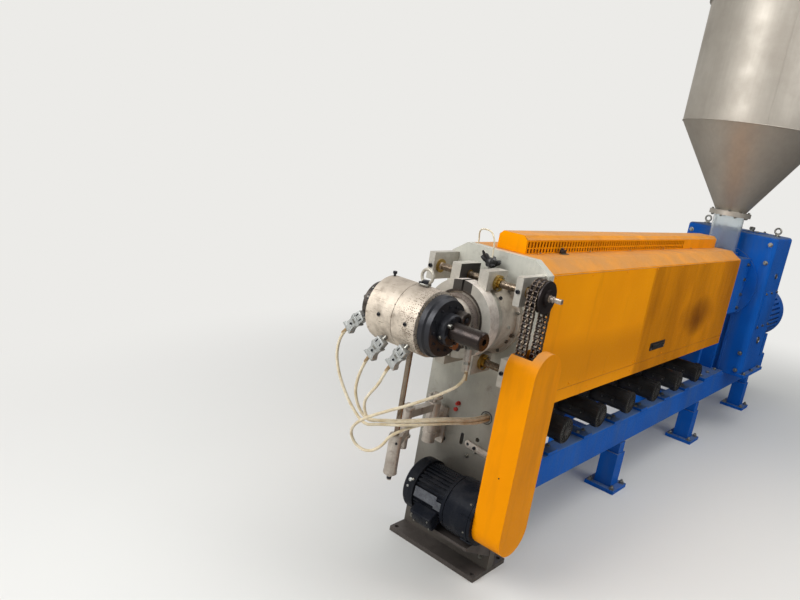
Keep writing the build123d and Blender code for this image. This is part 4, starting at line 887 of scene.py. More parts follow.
def threaded(work, level):
    """The thread of a screw, of two starts: its outline is one lead long and spun with a travel."""
    steps, half = 22, SCREW_LEAD / 2
    outline = []
    for start in (0, half):
        outline += [(ROOT, start), (ROOT, start + half * 0.24), (CREST, start + half * 0.42),
                    (CREST, start + half * 0.78)]
    outline.append((ROOT, SCREW_LEAD))
    verts = [work.verts.new((radius / 1000, 0, height / 1000)) for radius, height in outline]
    edges = [work.edges.new(pair) for pair in zip(verts, verts[1:])]
    bmesh.ops.spin(work, geom=verts + edges, cent=(0, 0, 0), axis=UP, dvec=UP * SCREW_LEAD / steps / 1000,
                   angle=math.tau * THREAD_TURNS, steps=steps * THREAD_TURNS, use_merge=False)
    made = connected(verts)
    bmesh.ops.transform(work, matrix=axes(at(THREAD_FROM, SCREW_Y, level), DEEP, ALONG), verts=made)
    set_material(made, 0)


def lead_screw(level, square):
    """One lead screw: journals, end collar, thread and, on the upper one, the crank's square."""
    work = bmesh.new()
    place = at(0, SCREW_Y, level)
    turned(work, [(0, -219.5), (20, -219.5), (21, -218.5), (21, -208.5), (20, -207.5), (14, -207.5), (14, -173),
                  (12.1, -171.5), (12.1, -168)], place, ALONG, 32, 1)
    threaded(work, level)
    turned(work, [(12.1, THREAD_TO - 14), (12.1, THREAD_TO - 4), (14, THREAD_TO - 2), (14, WHEEL_END),
                  (0, WHEEL_END)], place, ALONG, 32, 1)
    turned(work, [(12.05, -172), (12.05, THREAD_TO)], place, ALONG, 20, 0)
    if square:
        turned(work, [(0, WHEEL_END - 1), (11, WHEEL_END - 1), (11, 308), (8, 312), (0, 312)], place, ALONG, 24, 1)
        slab(work, at(320, SCREW_Y, level), ALONG, UP, (40, 16, 16), 1.6, 1, 2)
    return work


for word, level in zip(("upper", "lower"), screw_levels):
    screw_work = lead_screw(level, square=word == "upper")
    screw = finish_piece(screw_work, f"threaded_screw_{word}", f"{word}_screw",
                         [greased_screw_steel, bright_screw_steel])
    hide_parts(f"lead_screw_{word}")

# %% [markdown]
# ## Screws that hold the front together
# A machine reads as real through its fasteners. These are the ones the picture shows: cap screws in
# the bearing blocks, bolts round the barrel head, socket screws in the blackened flange, hexagon
# bolts through the brass nuts. They are grouped into one piece for each body that they ride on. The
# clamp's outer band, near-white as a painted highlight, and a thin dark ring inside its front, a
# painted shadow, are rings that are turned whole and cut at the parting line.

# %% Screws and bolts on the front
front_bolts = bmesh.new()
for level in screw_levels:
    for side in (-1, 1):
        socket_screw(front_bolts, at(side * 193.3, 200, level), FRONT, 15, 1)
for place in copies(10, 142.3, at(0, 332, LINE), FRONT, 0.31):
    bolt(front_bolts, place, FRONT, 11, 7, 0, washer=False)
for place in copies(12, 77, at(75, 0, LINE), ALONG, 0.1):
    socket_screw(front_bolts, place, ALONG, 10, 1)
for place in copies(4, 46, at(102, 0, LINE), ALONG, math.radians(20)):
    bolt(front_bolts, place, ALONG, 11, 5.5, 1, washer=False)
for place in copies(6, 68, at(-250, 0, LINE), -ALONG, 0.4):
    bolt(front_bolts, place, -ALONG, 13, 8, 0, washer=False)
for x, z in ((27, 426), (60, 456), (-178, 250), (178, 190), (-185, 905), (-178, 1090), (178, 60), (-178, 60)):
    bolt(front_bolts, at(x, PLATE_FACE, z), FRONT)
finish_piece(front_bolts, "front_screws", "machine", [zinc_bolt_steel, oil_blackened_steel])

# %% Bolts, painted highlight band and painted shadow ring of the clamp halves
CLAMP_FRONT = 150.0
PARTING = 6.0           # half the gap between the halves
band = [(140, 1), (142.6, 1.4), (142.6, 56), (140, 56.1), (140, 1)]
painted_shadow_ring = [(99.6, -0.5), (108, -0.5), (108, 1), (99.6, 5), (99.6, -0.5)]
for word, side in (("right", 1), ("left", -1)):
    clamp_bolts = bmesh.new()
    for level in screw_levels:
        for degrees in (50, 230):
            place = at(side * 92, SCREW_Y, level) + toward(DEEP, UP, degrees) * 0.0236
            bolt(clamp_bolts, place, ALONG * side, 8, 5, 0, washer=False)
    # The outer band is near-white, a painted highlight. The thin ring at the inner edge of the front is dark steel,
    # a painted shadow between the neck and the clamp.
    for section, tone in ((band, 3), (painted_shadow_ring, 2)):
        collar = turned(clamp_bolts, section, at(0, CLAMP_FRONT, LINE), DEEP, 96, tone)
        cut = bmesh.ops.bisect_plane(clamp_bolts, geom=collar + edges_at(collar) + faces_at(collar),
                                     plane_co=at(side * PARTING, 0, LINE), plane_no=ALONG * -side, clear_outer=True)
        ends = [item for item in cut["geom_cut"] if isinstance(item, bmesh.types.BMEdge)]
        bmesh.ops.holes_fill(clamp_bolts, edges=ends, sides=8)
    finish_piece(clamp_bolts, f"clamp_screws_{word}", f"clamp_{word}",
                 [zinc_bolt_steel, oil_blackened_steel, nose_steel, painted_highlight_steel])

# %% [markdown]
# ## Crosshead
# The band heaters are screwed sheet jackets. A dark screw sits in the front of each, a lap seam
# runs along them, the nose ring is held by steel straps and a small black screw stands on top. The
# barrel head behind has a bright machined band at its front and a few rusty set screws. These are
# turned rings, bevelled slabs and screws, placed round the same two axes as the CAD solids.

# %% Crosshead details
BAND_RADIUS = 116.0     # outside of the band heaters


def on_line(degrees, radius, x):
    """Place on a cylinder round the crosshead's bore, and its outward way, by an angle from +Y upwards."""
    way = toward(DEEP, UP, degrees)
    return at(x, 0, LINE) + way * (radius / 1000), way


crosshead_work = bmesh.new()
for x in (-134.5, -14.7):
    place, way = on_line(180, BAND_RADIUS - 0.1, x)
    socket_screw(crosshead_work, place, way, 11, 1)
    turned(crosshead_work, [(5.6, 0), (8.5, 0), (8.5, 0.8), (5.6, 0.8)], place, way, 20, 0)
place, way = on_line(92, BAND_RADIUS - 0.1, -186)
turned(crosshead_work, [(0, -1), (4.5, -1), (4.5, 9), (7.5, 9), (7.5, 17), (6.5, 18), (0, 18)], place, way, 18, 1)
for degrees in (20, 60, 140, 158, 196, 250, 305):
    place, way = on_line(degrees, 107, -202)
    slab(crosshead_work, place, ALONG, way, (14, 18, 12), 1.2, 1)
    bolt(crosshead_work, place + way * 0.006, way, 7, 4, 0, washer=False)
for start, end in ((-194, -81), (-75, 23)):
    place, way = on_line(155.5, BAND_RADIUS + 0.1, (start + end) / 2)
    slab(crosshead_work, place, ALONG, way, (end - start, 9, 1.1), 0.3, 2)
for degrees in (25, 200, 290):
    place, way = on_line(degrees, 55, 88.5)
    bolt(crosshead_work, place, way, 12, 6, 0, washer=False)
turned(crosshead_work, [(0, 0), (27, 0), (27, 34), (25, 36), (15, 36), (15, 29), (0, 29)], at(75, 50, LINE + 34),
       ALONG, 40, 4)
bolt(crosshead_work, at(104, 50, LINE + 34), ALONG, 17, 10, 1, washer=False)
bolt(crosshead_work, at(75, 34, LINE - 56), ALONG, 30, 22, 3, washer=False)
turned(crosshead_work, [(0, 0), (13, 0), (13, 16), (11.5, 18), (0, 18)], at(75, 58, LINE - 69), ALONG, 28, 1)
turned(crosshead_work, [(0, 0), (7.5, 0), (7.5, 12), (6.5, 13), (0, 13)], at(101.5, -34, LINE + 22), ALONG, 20, 0)
slab(crosshead_work, at(-45, -4, LINE + 121), (1, 0.25, 0), UP, (34, 30, 9), 2.5, 0, 2)
bolt(crosshead_work, at(-45, 0, LINE + 124), UP, 26, 12, 1, washer=False)
slab(crosshead_work, at(-58, -12, LINE + 124), (1, -0.5, 0.1), UP, (20, 12, 12), 2.5, 1, 2)
finish_piece(crosshead_work, "crosshead_details", "machine",
             [zinc_bolt_steel, oil_blackened_steel, heater_stainless, rusted_nut_steel, nose_steel])

# %% Ring and set screws of the barrel head
head_work = bmesh.new()
turned(head_work, [(134, 0), (137.5, 0), (138.5, 1), (138.5, 20), (137.5, 22), (134, 22)], at(0, 212.2, LINE),
       DEEP, 96)
for way in (1, -1):
    everything = list(head_work.verts) + list(head_work.edges) + list(head_work.faces)
    bmesh.ops.bisect_plane(head_work, geom=everything, plane_co=at(0, 0, LINE + 116.2 * way), plane_no=UP * way,
                           clear_outer=True)
bmesh.ops.holes_fill(head_work, edges=[edge for edge in head_work.edges if edge.is_boundary], sides=12)
for degrees, y, material in ((44, 253, 1), (-18, 320, 2), (-30, 318, 2), (-2, 281, 0), (136, 253, 1),
                             (-136, 253, 2)):
    way = toward(ALONG, UP, degrees)
    socket_screw(head_work, at(0, y, LINE) + way * 0.135, way, 14, material)
finish_piece(head_work, "barrel_head_ring", "machine",
             [milled_clamp_steel, oil_blackened_steel, chain_steel])

# %% [markdown]
# ## Heater plugs and sleeves
# Three heaters end in a high-temperature plug: a cast two-part housing, waisted for the fingers,
# with one screw through it, a cast socket shell above with a red silicone seal, and a ribbed tan
# sleeve that guards the leads below. The fourth ends in a plain round connector. A block whose
# middle loops are pulled in makes the waist, so it starts as a cube, is cut into bands, squeezed
# between and then bevelled.

# %% Housing of a plug
def plug_housing():
    """Waisted housing, 50 by 29 by 58 mm, its middle pulled in on both sides."""
    work = bmesh.new()
    bmesh.ops.create_cube(work, size=1.0)
    bmesh.ops.scale(work, vec=(0.050, 0.029, 0.058), verts=work.verts)
    tall = [edge for edge in work.edges if abs(edge.verts[0].co.z - edge.verts[1].co.z) > 0.02]
    bmesh.ops.subdivide_edges(work, edges=tall, cuts=5, use_grid_fill=True)
    for vert in work.verts:
        squeeze = 0.72 + 0.28 * min(1.0, abs(vert.co.z) / 0.023) ** 2
        vert.co.x *= squeeze
        vert.co.y *= 0.5 + 0.5 * squeeze
    corners = [edge for edge in work.edges if edge.calc_face_angle(0) > 1.2]
    bmesh.ops.bevel(work, geom=corners, offset=0.0022, offset_type="OFFSET", segments=2, profile=0.5,
                    affect="EDGES", material=-1)
    return shape_of(work, "plug_housing")


plug_shape = plug_housing()
print("plug housing", len(plug_shape.polygons), "faces")

# %% Heater plugs
# Each plug has a pin's foot on its heater, the top of that pin and the way that the plug hangs.
plugs = [(at(*foot), at(*top), Vector(way).normalized()) for foot, top, way in (
    ((-225, -60, 942.4), (-231, -92, 962), (-0.66, -0.1, -0.74)),
    ((-108, -88.9, 925.4), (-112, -104, 910), (-0.52, -0.05, -0.85)),
    ((-8, -88.9, 925.4), (-12, -104, 910), (-0.52, -0.05, -0.85)),
    ((66.7, 135, 933.3), (84, 132, 914), (0.22, -0.16, -0.96)))]
plug_work = bmesh.new()
for foot, top, way in plugs[:3]:
    across = DEEP.cross(way).normalized()
    front = way.cross(across).normalized()
    if front.y > 0:
        front = -front
    stamp(plug_work, plug_shape, axes(top + way * 0.0475, across, way))
    slab(plug_work, top + way * 0.005, across, way, (40, 26, 27), 1.6, 0, 2)
    slab(plug_work, top + way * 0.0202, across, way, (41, 26, 2.4), 0.8, 2)
    socket_screw(plug_work, top + way * 0.047 + front * 0.0122, front, 8, 3)
    for spread in (-0.0105, 0.0105):
        slab(plug_work, top + way * 0.006 + front * 0.0131 + across * spread, way, front, (15, 4.5, 1.0), 0.3, 3)
    slab(plug_work, top + way * 0.031 + front * 0.0142, across, front, (16, 7, 1.2), 0.4, 1)
    pin = (top + way * 0.004) - foot
    length = pin.length * 1000
    turned(plug_work, [(0, 0), (8, 0), (8, length - 3), (7, length), (0, length)], foot, pin, 18, 1)
    turned(plug_work, [(0, -2), (10, -2), (10, 3), (7.5, 6), (0, 6)], top + way * 0.073, way, 18, 0)
foot, top, way = plugs[3]
pin = (top + way * 0.008) - foot
length = pin.length * 1000
turned(plug_work, [(0, 0), (10, 0), (10, length), (0, length)], foot, pin, 20, 1)
turned(plug_work, [(0, 0), (12, 0), (13.5, 1.5), (13.5, 40), (12, 42), (9.5, 43), (9.5, 62), (8.5, 64), (8.5, 74),
                   (0, 74)], top, way, 32, 4)
bolt(plug_work, top + way * 0.046, way, 21, 9, 1, washer=False)
heater_plugs = finish_piece(plug_work, "heater_plug_set", "machine",
                            [cast_aluminium, zinc_bolt_steel, red_silicone, oil_blackened_steel, machined_arm_steel])
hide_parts("heater_plugs")

sleeve_work = bmesh.new()
ribs = [(4.1, 5)]
for rib in range(7):
    crest, groove, start = 6.9 - rib * 0.22, 5.9 - rib * 0.2, rib * 4.4
    ribs += [(crest, start + 5), (crest, start + 7.6), (groove, start + 8), (groove, start + 9)]
ribs += [(4.2, 36), (4.1, 36)]
for _, top, way in plugs:
    turned(sleeve_work, ribs, top + way * 0.074, way, 18)
finish_piece(sleeve_work, "plug_sleeves", "machine", tan_sleeve)

# %% [markdown]
# ## Melt sensor
# On the barrel head stands the melt sensor. Its head is wrapped in black tape and cable ties, so it
# looks like a rough knob with stubs. A few turned bodies, pushed together at different angles, read
# as that wrapping better than one clean cylinder.

# %% Melt sensor
sensor_work = bmesh.new()
sensor_top = at(2, 300, 1220)
turned(sensor_work, [(0, -105), (7, -105), (7, -70), (10, -70), (10, -62), (7, -62), (7, -30), (0, -30)], sensor_top,
       UP, 20, 1)
bolt(sensor_work, at(2, 300, 1116), UP, 19, 12, 1)
for lean, radius, height, shift in (
        ((0, 0, 1), 20, 32, (0, 0, -34)), ((0.5, -0.3, 1), 13, 34, (6, -6, -30)),
        ((-0.6, -0.1, 1), 12, 42, (-8, 0, -28)), ((-0.2, 0.5, 1), 12, 32, (0, 7, -28)),
        ((0.9, 0.2, 0.5), 11, 34, (4, 2, -26)), ((-0.9, -0.4, 0.7), 9, 38, (-7, -5, -22)),
        ((-0.5, -0.4, 1), 6, 52, (-10, -4, -24)), ((0.6, -0.5, -0.2), 9, 30, (4, -4, -20)),
        ((-0.7, 0.5, 0.2), 8, 32, (-4, 3, -18))):
    stub = [(0, 0), (0.86, 0), (1, 3 / height), (0.94, 0.35), (1, 0.5), (0.9, 0.8), (0.6, 1), (0, 1)]
    outline = [(radius * out, height * high) for out, high in stub]
    turned(sensor_work, outline, sensor_top + Vector(shift) / 1000, lean, 14)
sensor_knob = finish_piece(sensor_work, "wrapped_sensor", "machine", [black_plastic, zinc_bolt_steel])
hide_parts("melt_sensor")

# %% [markdown]
# ## Vent box
# The box along the top of the cover lets heat out through two rows of upright slots on each side.
# Painted-on stripes would not throw shade, so the slots are holes. A grid is made as wide as the
# side, its columns alternate slot and web, the slot faces are deleted and the sheet is given a
# thickness. The plain rear part, the folded top and the two ends close the box. A baffle down its
# middle keeps the light from falling through both sides.

# %% Vent box
VENT_FRONT, VENT_REAR, VENT_FOOT = 420.0, 2650.0, 1244.3
SLOT_FIRST, SLOT_WIDTH, SLOT_COUNT = 432.0, 11.75, 71
SHEET = 1.5
heights = (VENT_FOOT, 1248, 1263, 1268, 1290, 1296)
roof = [(62, 1296), (46, 1312), (-46, 1312), (-62, 1296)]
vent_work = bmesh.new()
for side in (-1, 1):
    columns = 2 * SLOT_COUNT + 1
    sheet = bmesh.ops.create_grid(vent_work, x_segments=columns, y_segments=5, size=0.5)["verts"]
    for vert in sheet:
        column, row = round((vert.co.x + 0.5) * columns), round((vert.co.y + 0.5) * 5)
        y = SLOT_FIRST + (column - 1) * SLOT_WIDTH
        if column == 0:
            y = VENT_FRONT + SHEET
        elif column == columns:
            y = VENT_REAR - SHEET
        vert.co = at(side * 62, y, heights[row])
    slots = []
    for face in faces_at(sheet):
        middle = face.calc_center_median()
        count = (middle.y - at(0, SLOT_FIRST, 0).y) * 1000 / SLOT_WIDTH
        level = middle.z * 1000
        in_row = heights[1] < level < heights[2] or heights[3] < level < heights[4]
        if in_row and 0 < count < 2 * SLOT_COUNT - 1 and int(count) % 2 == 0:
            slots.append(face)
    bmesh.ops.delete(vent_work, geom=slots, context="FACES")
top_line = [vent_work.verts.new(at(x, VENT_FRONT + SHEET, z)) for x, z in roof]
top_edges = [vent_work.edges.new(pair) for pair in zip(top_line, top_line[1:])]
swept = bmesh.ops.extrude_edge_only(vent_work, edges=top_edges)["geom"]
bmesh.ops.translate(vent_work, vec=DEEP * (VENT_REAR - VENT_FRONT - 2 * SHEET) / 1000, verts=vertices_in(swept))
bmesh.ops.remove_doubles(vent_work, verts=vent_work.verts, dist=0.0001)
bmesh.ops.recalc_face_normals(vent_work, faces=vent_work.faces)
bmesh.ops.solidify(vent_work, geom=list(vent_work.faces), thickness=SHEET / 1000)
for y, way in ((VENT_FRONT, -1), (VENT_REAR, 1)):
    corners = [vent_work.verts.new(at(x, y, z)) for x, z in [(62, VENT_FOOT), *roof, (-62, VENT_FOOT)]]
    bmesh.ops.contextual_create(vent_work, geom=corners)
    lid = bmesh.ops.extrude_face_region(vent_work, geom=list(corners[0].link_faces))["geom"]
    bmesh.ops.translate(vent_work, vec=DEEP * -way * 0.0014, verts=vertices_in(lid))
slab(vent_work, at(0, (VENT_FRONT + VENT_REAR) / 2, VENT_FOOT + 32), ALONG, UP,
     (SHEET, VENT_REAR - VENT_FRONT - 8, 62), 0)
vent_sheet = finish_piece(vent_work, "slotted_vent_box", "machine", yellow_powder_coat)
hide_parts("vent_box")

# %% [markdown]
# ## Cover fittings
# The cover is folded sheet with two side panels. It carries a black catch at the foot of the vent
# box, recessed black handles low on the panels, screws along the seams and a hinge strip. Small
# bevelled slabs and screws are enough, because these pieces are only a few pixels each from the
# front, but they stay whole from any side.

# %% Cover fittings
HANDLE_Y, CATCH_Y = 1615, 680
fittings = bmesh.new()
for side in (-1, 1):
    outward = ALONG * side
    slab(fittings, at(side * (COVER_SIDE + 1.5), HANDLE_Y, 791), DEEP, outward, (190, 40, 3), 1.4, 0, 2)
    slab(fittings, at(side * (COVER_SIDE + 6.5), HANDLE_Y, 796), DEEP, outward, (150, 14, 9), 3.0, 0, 2)
    for end in (-82, 82):
        socket_screw(fittings, at(side * (COVER_SIDE + 3), HANDLE_Y + end, 781), outward, 6, 1)
    for y in (405, 700, 1030, 1345, 1373, 1700, 2040, 2370, 2688):
        for z in (740, 1192):
            socket_screw(fittings, at(side * COVER_SIDE, y, z), outward, 6, 2)
    for y in (430, 880, 1330, 1780, 2230, 2670):
        socket_screw(fittings, at(side * COVER_SIDE, y, 698), outward, 6, 2)
    slab(fittings, at(side * 86, CATCH_Y, 1246), DEEP, UP, (46, 20, 4), 1.0, 1)
    slab(fittings, at(side * 82, CATCH_Y - 6, 1254), DEEP, UP, (34, 14, 15), 2.6, 0, 2)
    turned(fittings, [(0, 0), (5, 0), (5, 9), (4, 10), (0, 10)], at(side * 84, CATCH_Y - 16, 1259), (0, -0.3, 1), 16)
    for y in range(520, 2600, 420):
        slab(fittings, at(side * 70, y, 1245.4), DEEP, UP, (40, 15, 2.4), 0.6, 2)
        socket_screw(fittings, at(side * 71, y, 1246.6), UP, 7, 1)
finish_piece(fittings, "cover_fittings", "machine",
             [black_plastic, zinc_bolt_steel, yellow_powder_coat])

# %% [markdown]
# ## Clamp motor
# The motor has a black enamelled body with long fins, a fan cowl with a guard of rings at its end,
# a ribbed flange on the gearhead and a terminal box with a cable gland. The rating plates are bare
# aluminium between the fins. The fan guard is a set of turned wire rings held by spokes.

# %% Clamp motor details
MOTOR_HEIGHT = 290.0
COWL_END = -99.0


def motor_at(x, degrees=0.0, radius=0.0):
    """Place round the motor's axis by an angle from the front upwards, and its outward way."""
    way = toward(FRONT, UP, degrees)
    return at(x, SCREW_Y, MOTOR_HEIGHT) + way * (radius / 1000), way


motor_work = bmesh.new()
cowl_centre = motor_at(COWL_END)[0]
for radius in (18, 33, 48, 63, 78, 91):
    wire = [(radius - 1.5, 0.4), (radius - 1.5, -2), (radius + 1.5, -2), (radius + 1.5, 0.4)]
    turned(motor_work, wire, cowl_centre, ALONG, 40)
for spoke in range(8):
    place, way = motor_at(COWL_END - 0.9, spoke * 45, 54)
    slab(motor_work, place, way, ALONG, (74, 4, 1.6), 0.4)
turned(motor_work, [(0, 0.4), (16, 0.4), (16, -2.2), (0, -2.2)], cowl_centre, ALONG, 28)
for degrees in (28, 148, 268):
    place, way = motor_at(-60, degrees, 106)
    bolt(motor_work, place, way, 9, 5, 1, washer=False)
for x, degrees, size in ((-72, 25, 1.0), (-74, 11, 0.62)):
    place, way = motor_at(x, degrees, 106)
    turned(motor_work, [(0, -0.3), (7.5 * size, -0.3), (7.5 * size, 1.6), (6 * size, 2.4), (2.6 * size, 2.4),
                        (2.6 * size, 1.8), (0, 1.8)], place, way, 20, 4)
turned(motor_work, [(98, 0), (104, 0), (105, 1), (105, 13), (104, 14), (98, 14)], motor_at(89)[0], ALONG, 64)
turned(motor_work, [(107, 0), (110.5, 1), (110.5, 9), (107, 10)], motor_at(206)[0], ALONG, 64)
for degrees in range(0, 360, 60):
    place, way = motor_at(205, degrees + 15, 111)
    slab(motor_work, place, ALONG, way, (46, 5, 7), 1.2)
    bolt(motor_work, motor_at(206, degrees + 40, 104)[0], -ALONG, 10, 7, 1, washer=False)
for x, degrees, radius, size in ((10, 8, 99.2, (104, 40, 1.2)), (71, 1, 99.4, (34, 34, 1.2))):
    place, way = motor_at(x, degrees, radius)
    slab(motor_work, place, ALONG, way, size, 0.3, 2)
box_lid, box_way = motor_at(28, -30, 144)
box_down = ALONG.cross(box_way)
slab(motor_work, box_lid - box_way * 0.004, ALONG, box_way, (92, 58, 9), 2.5, 0, 2)
for dx in (-0.037, 0.037):
    for down in (-0.02, 0.02):
        socket_screw(motor_work, box_lid + ALONG * dx + box_down * down + box_way * 0.0004, box_way, 7, 1)
turned(motor_work, [(0, 0), (11, 0), (11, 5), (9, 6), (9, 14), (7, 17), (3, 17), (3, 10), (0, 10)],
       box_lid - box_way * 0.022 + box_down * 0.031, box_down, 12, 1)
finish_piece(motor_work, "clamp_motor_details", "machine",
             [black_enamel, zinc_bolt_steel, tarnished_plate, black_plastic, cast_aluminium])

# %% [markdown]
# ## Plate, swing arm and guard fittings
# On the plate sit a flat locking bar with a hole and two red caps beside the leads' hole. The
# crosshead hangs on a rod that slides in a sleeve, carried by a swing arm whose pins are bright
# turned steel with collars. The guard over the chain has one small screw at its foot. All of these
# are plain shop parts, so each is a bevelled block, a turned pin or a screw.

# %% Plate fittings
plate_work = bmesh.new()
slab(plate_work, at(88, PLATE_FACE - 4.3, 471), (1, 0, -0.09), FRONT, (124, 28, 8), 1.5, 0, 2)
turned(plate_work, [(0, 0), (14, 0), (15, 1), (15, 7), (14, 8), (0, 8)], at(27, PLATE_FACE, 477), FRONT, 28)
# The bar's hole is a thin black disc: painted shade.
turned(plate_work, [(0, 0), (6.5, 0), (6.5, 0.4), (0, 0.4)], at(27, PLATE_FACE - 8, 477), FRONT, 20, 1)
for x, z in ((60, 474), (128, 468)):
    socket_screw(plate_work, at(x, PLATE_FACE - 8.3, z), FRONT, 13, 1)
turned(plate_work, [(22.5, 0), (26, 0), (26, 1.6), (22.5, 1.6)], at(82, PLATE_FACE, 608), FRONT, 36, 1)
finish_piece(plate_work, "plate_fittings", "machine", [machined_arm_steel, oil_blackened_steel])

cap_work = bmesh.new()
turned(cap_work, [(0, 0), (9, 0), (9, 10), (8, 12), (0, 12)], at(-53, PLATE_FACE, 617), FRONT, 20)
turned(cap_work, [(0, 0), (6, 0), (6, 6), (5, 7), (0, 7)], at(-53, PLATE_FACE - 12, 617), FRONT, 16)
turned(cap_work, [(0, 0), (8, 0), (8, 9), (7, 10), (0, 10)], at(-60, PLATE_FACE, 590), FRONT, 20)
finish_piece(cap_work, "red_caps", "machine", red_silicone)

# %% Swing arm and guard fittings
ROD_X = -63.0           # the rod under the crosshead stands here
arm_work = bmesh.new()
for x, y, low, high, radius in ((-125, 288, 478, 636, 26), (-124, 125, 498, 622, 22)):
    collar = [(radius - 6, 0), (radius + 2.5, 0), (radius + 3.5, 1), (radius + 3.5, 8), (radius + 2.5, 9),
              (radius - 6, 9)]
    for level in (low, high - 9):
        turned(arm_work, collar, at(x, y, level), UP, 36)
    bolt(arm_work, at(x, y, high + 1), UP, 19, 9)
for level in (409, 548):
    turned(arm_work, [(23, 0), (25.5, 0), (25.5, 8), (23, 8)], at(ROD_X, 0, level), UP, 36)
turned(arm_work, [(0, 0), (6, 0), (9, 3), (9, 10), (7.8, 12), (7.8, 22), (0, 22)], at(ROD_X, 0, 383.5), UP, 24, 1)
for degrees in (200, 320):
    way = toward(ALONG, DEEP, degrees)
    socket_screw(arm_work, at(ROD_X, 0, 535) + way * 0.0235, way, 9, 1)
finish_piece(arm_work, "arm_fittings", "machine", [machined_arm_steel, oil_blackened_steel])

guard_work = bmesh.new()
socket_screw(guard_work, at(294, SCREW_Y - 90, 508), FRONT, 5, 1)
finish_piece(guard_work, "guard_screws", "machine", [guard_powder_coat, oil_blackened_steel])

# %% [markdown]
# ## Blowers
# Six small fans under the cover cool the barrel. The motor of each one points to the side and ends
# in a pressed cap: a ring of fins and a dotted grille that shows silver through its holes. The dots
# repeat hundreds of times, so each is a six-sided stud with a dozen faces.

# %% Blower ends
BLOWER_HEIGHT = 520.0
blower_places = [760 + 330 * index for index in range(6)]


def blower_end():
    """The ribbed cap and dotted grille of one blower, looking along +Z from its end face."""
    work = bmesh.new()
    middle = Vector((0, 0, 0))
    turned(work, [(0, 0), (20, 0), (21, 1), (21, 2.4), (19, 3.2), (0, 3.2)], middle, UP, 24)
    turned(work, [(47, 0), (53.5, 0), (53.5, 2), (50, 3.4), (47, 2)], middle, UP, 40)
    for count, radius, height, size in ((12, 0.034, 0.0012, (27, 2.4, 2.4)), (20, 0.0555, -0.015, (3.4, 3, 24))):
        for index in range(count):
            way = toward(ALONG, DEEP, index * 360 / count)
            slab(work, way * radius + UP * height, way, UP, size, 0)
    for radius, count in ((26, 12), (33, 18), (41, 24)):
        for place in copies(count, radius, middle, UP, math.pi / count):
            turned(work, [(0, 0), (1.9, 0), (1.4, 1), (0, 1)], place, UP, 6, 1)
    return shape_of(work, "blower_end")


end_shape = blower_end()
blower_work = bmesh.new()
for y in blower_places:
    stamp(blower_work, end_shape, axes(at(226, y, BLOWER_HEIGHT), DEEP, ALONG))
    slab(blower_work, at(128, y - 54, BLOWER_HEIGHT), ALONG, FRONT, (70, 30, 6), 1.5, 0, 2)
    for dx in (-26, 26):
        socket_screw(blower_work, at(128 + dx, y - 57, BLOWER_HEIGHT), FRONT, 6, 1)
    for index in range(6):
        way = toward(DEEP, UP, index * 60 + math.degrees(0.3))
        bolt(blower_work, at(35.3, y, BLOWER_HEIGHT) + way * 0.084, ALONG, 7, 4, 1, washer=False)
finish_piece(blower_work, "blower_ends", "machine", [black_plastic, zinc_bolt_steel])

# %% [markdown]
# ## Base and feed end
# The base frame is bolted down through its feet and carries the feed throat, the gearbox and the
# drive. Heavy machines show this through big hexagon heads on washers, lifting eyes and a breather.
# The bolts are one long list of places, in rows that mirror from side to side.

# %% Bolts of the base
TRESTLES = (1560, 2710, 3860)
base_work = bmesh.new()
for side in (-1, 1):
    for y in TRESTLES:
        for dx in (-60, 60):
            for dy in (-60, 60):
                x = side * 150 + dx
                bolt(base_work, at(x, y + dy, 20), UP, 19, 12)
                turned(base_work, [(0, 0), (6, 0), (6, 8), (5, 9), (0, 9)], at(x, y + dy, 32), UP, 12)
    for x, height, rows, across, head in (
            (150, 412, [y + dy for y in blower_places for dy in (-26, 26)], 13, 8),
            (150, 420, (2760, 2900, 3040), 17, 11), (306, 420, (3160, 3340, 3520), 19, 12),
            (158, 400, (3778, 3822, 4058, 4102), 15, 10)):
        for y in rows:
            bolt(base_work, at(side * x, y, height), UP, across, head)
    for z in (440, 560, 1180, 1300):
        bolt(base_work, at(side * 255, 3130, z), FRONT, 19, 12)
    for y in (2740, 3072):
        for z in (860, 950, 1050, 1150):
            bolt(base_work, at(side * 170, y, z), ALONG * side, 17, 11)
for place in copies(10, 225, at(0, 3110.5, LINE), FRONT, 0.31):
    if abs(place.x - middle_x) > 0.175 or place.z > 1.2:
        bolt(base_work, place + DEEP * 0.0195, FRONT, 17, 11)
finish_piece(base_work, "base_bolts", "machine", [zinc_bolt_steel])

# %% Gearbox and drive
GEARBOX_Y, GEARBOX_TOP, GEARBOX_SIDE = 3345.0, 1349.5, 290.0
gear_work = bmesh.new()
slab(gear_work, at(0, GEARBOX_Y, GEARBOX_TOP + 2.5), ALONG, UP, (300, 220, 6), 2, 0, 2)
for x in (-130, 130):
    for dy in (-90, 90):
        bolt(gear_work, at(x, GEARBOX_Y + dy, GEARBOX_TOP + 5.5), UP, 13, 8, 1)
turned(gear_work, [(0, 0), (14, 0), (14, 10), (18, 12), (18, 26), (15, 30), (0, 32)],
       at(80, GEARBOX_Y - 45, GEARBOX_TOP + 5.5), UP, 24, 1)
circle = [math.radians(index * 36) for index in range(11)]
ring = [(19 + 6 * math.cos(angle), 6 * math.sin(angle)) for angle in circle]
for x in (-230, 230):
    turned(gear_work, [(0, 0), (22, 0), (22, 5), (14, 8), (12, 14), (0, 14)], at(x, GEARBOX_Y, GEARBOX_TOP), UP,
           24, 1)
    turned(gear_work, ring, at(x, GEARBOX_Y, 1385), DEEP, 28, 1)
for z, radius in ((640, 24), (1090, 18)):
    turned(gear_work, [(0, 0), (radius, 0), (radius, 6), (radius - 5, 9), (radius - 6, 6.5), (0, 6.5)],
           at(GEARBOX_SIDE, GEARBOX_Y, z), ALONG, 32, 1)
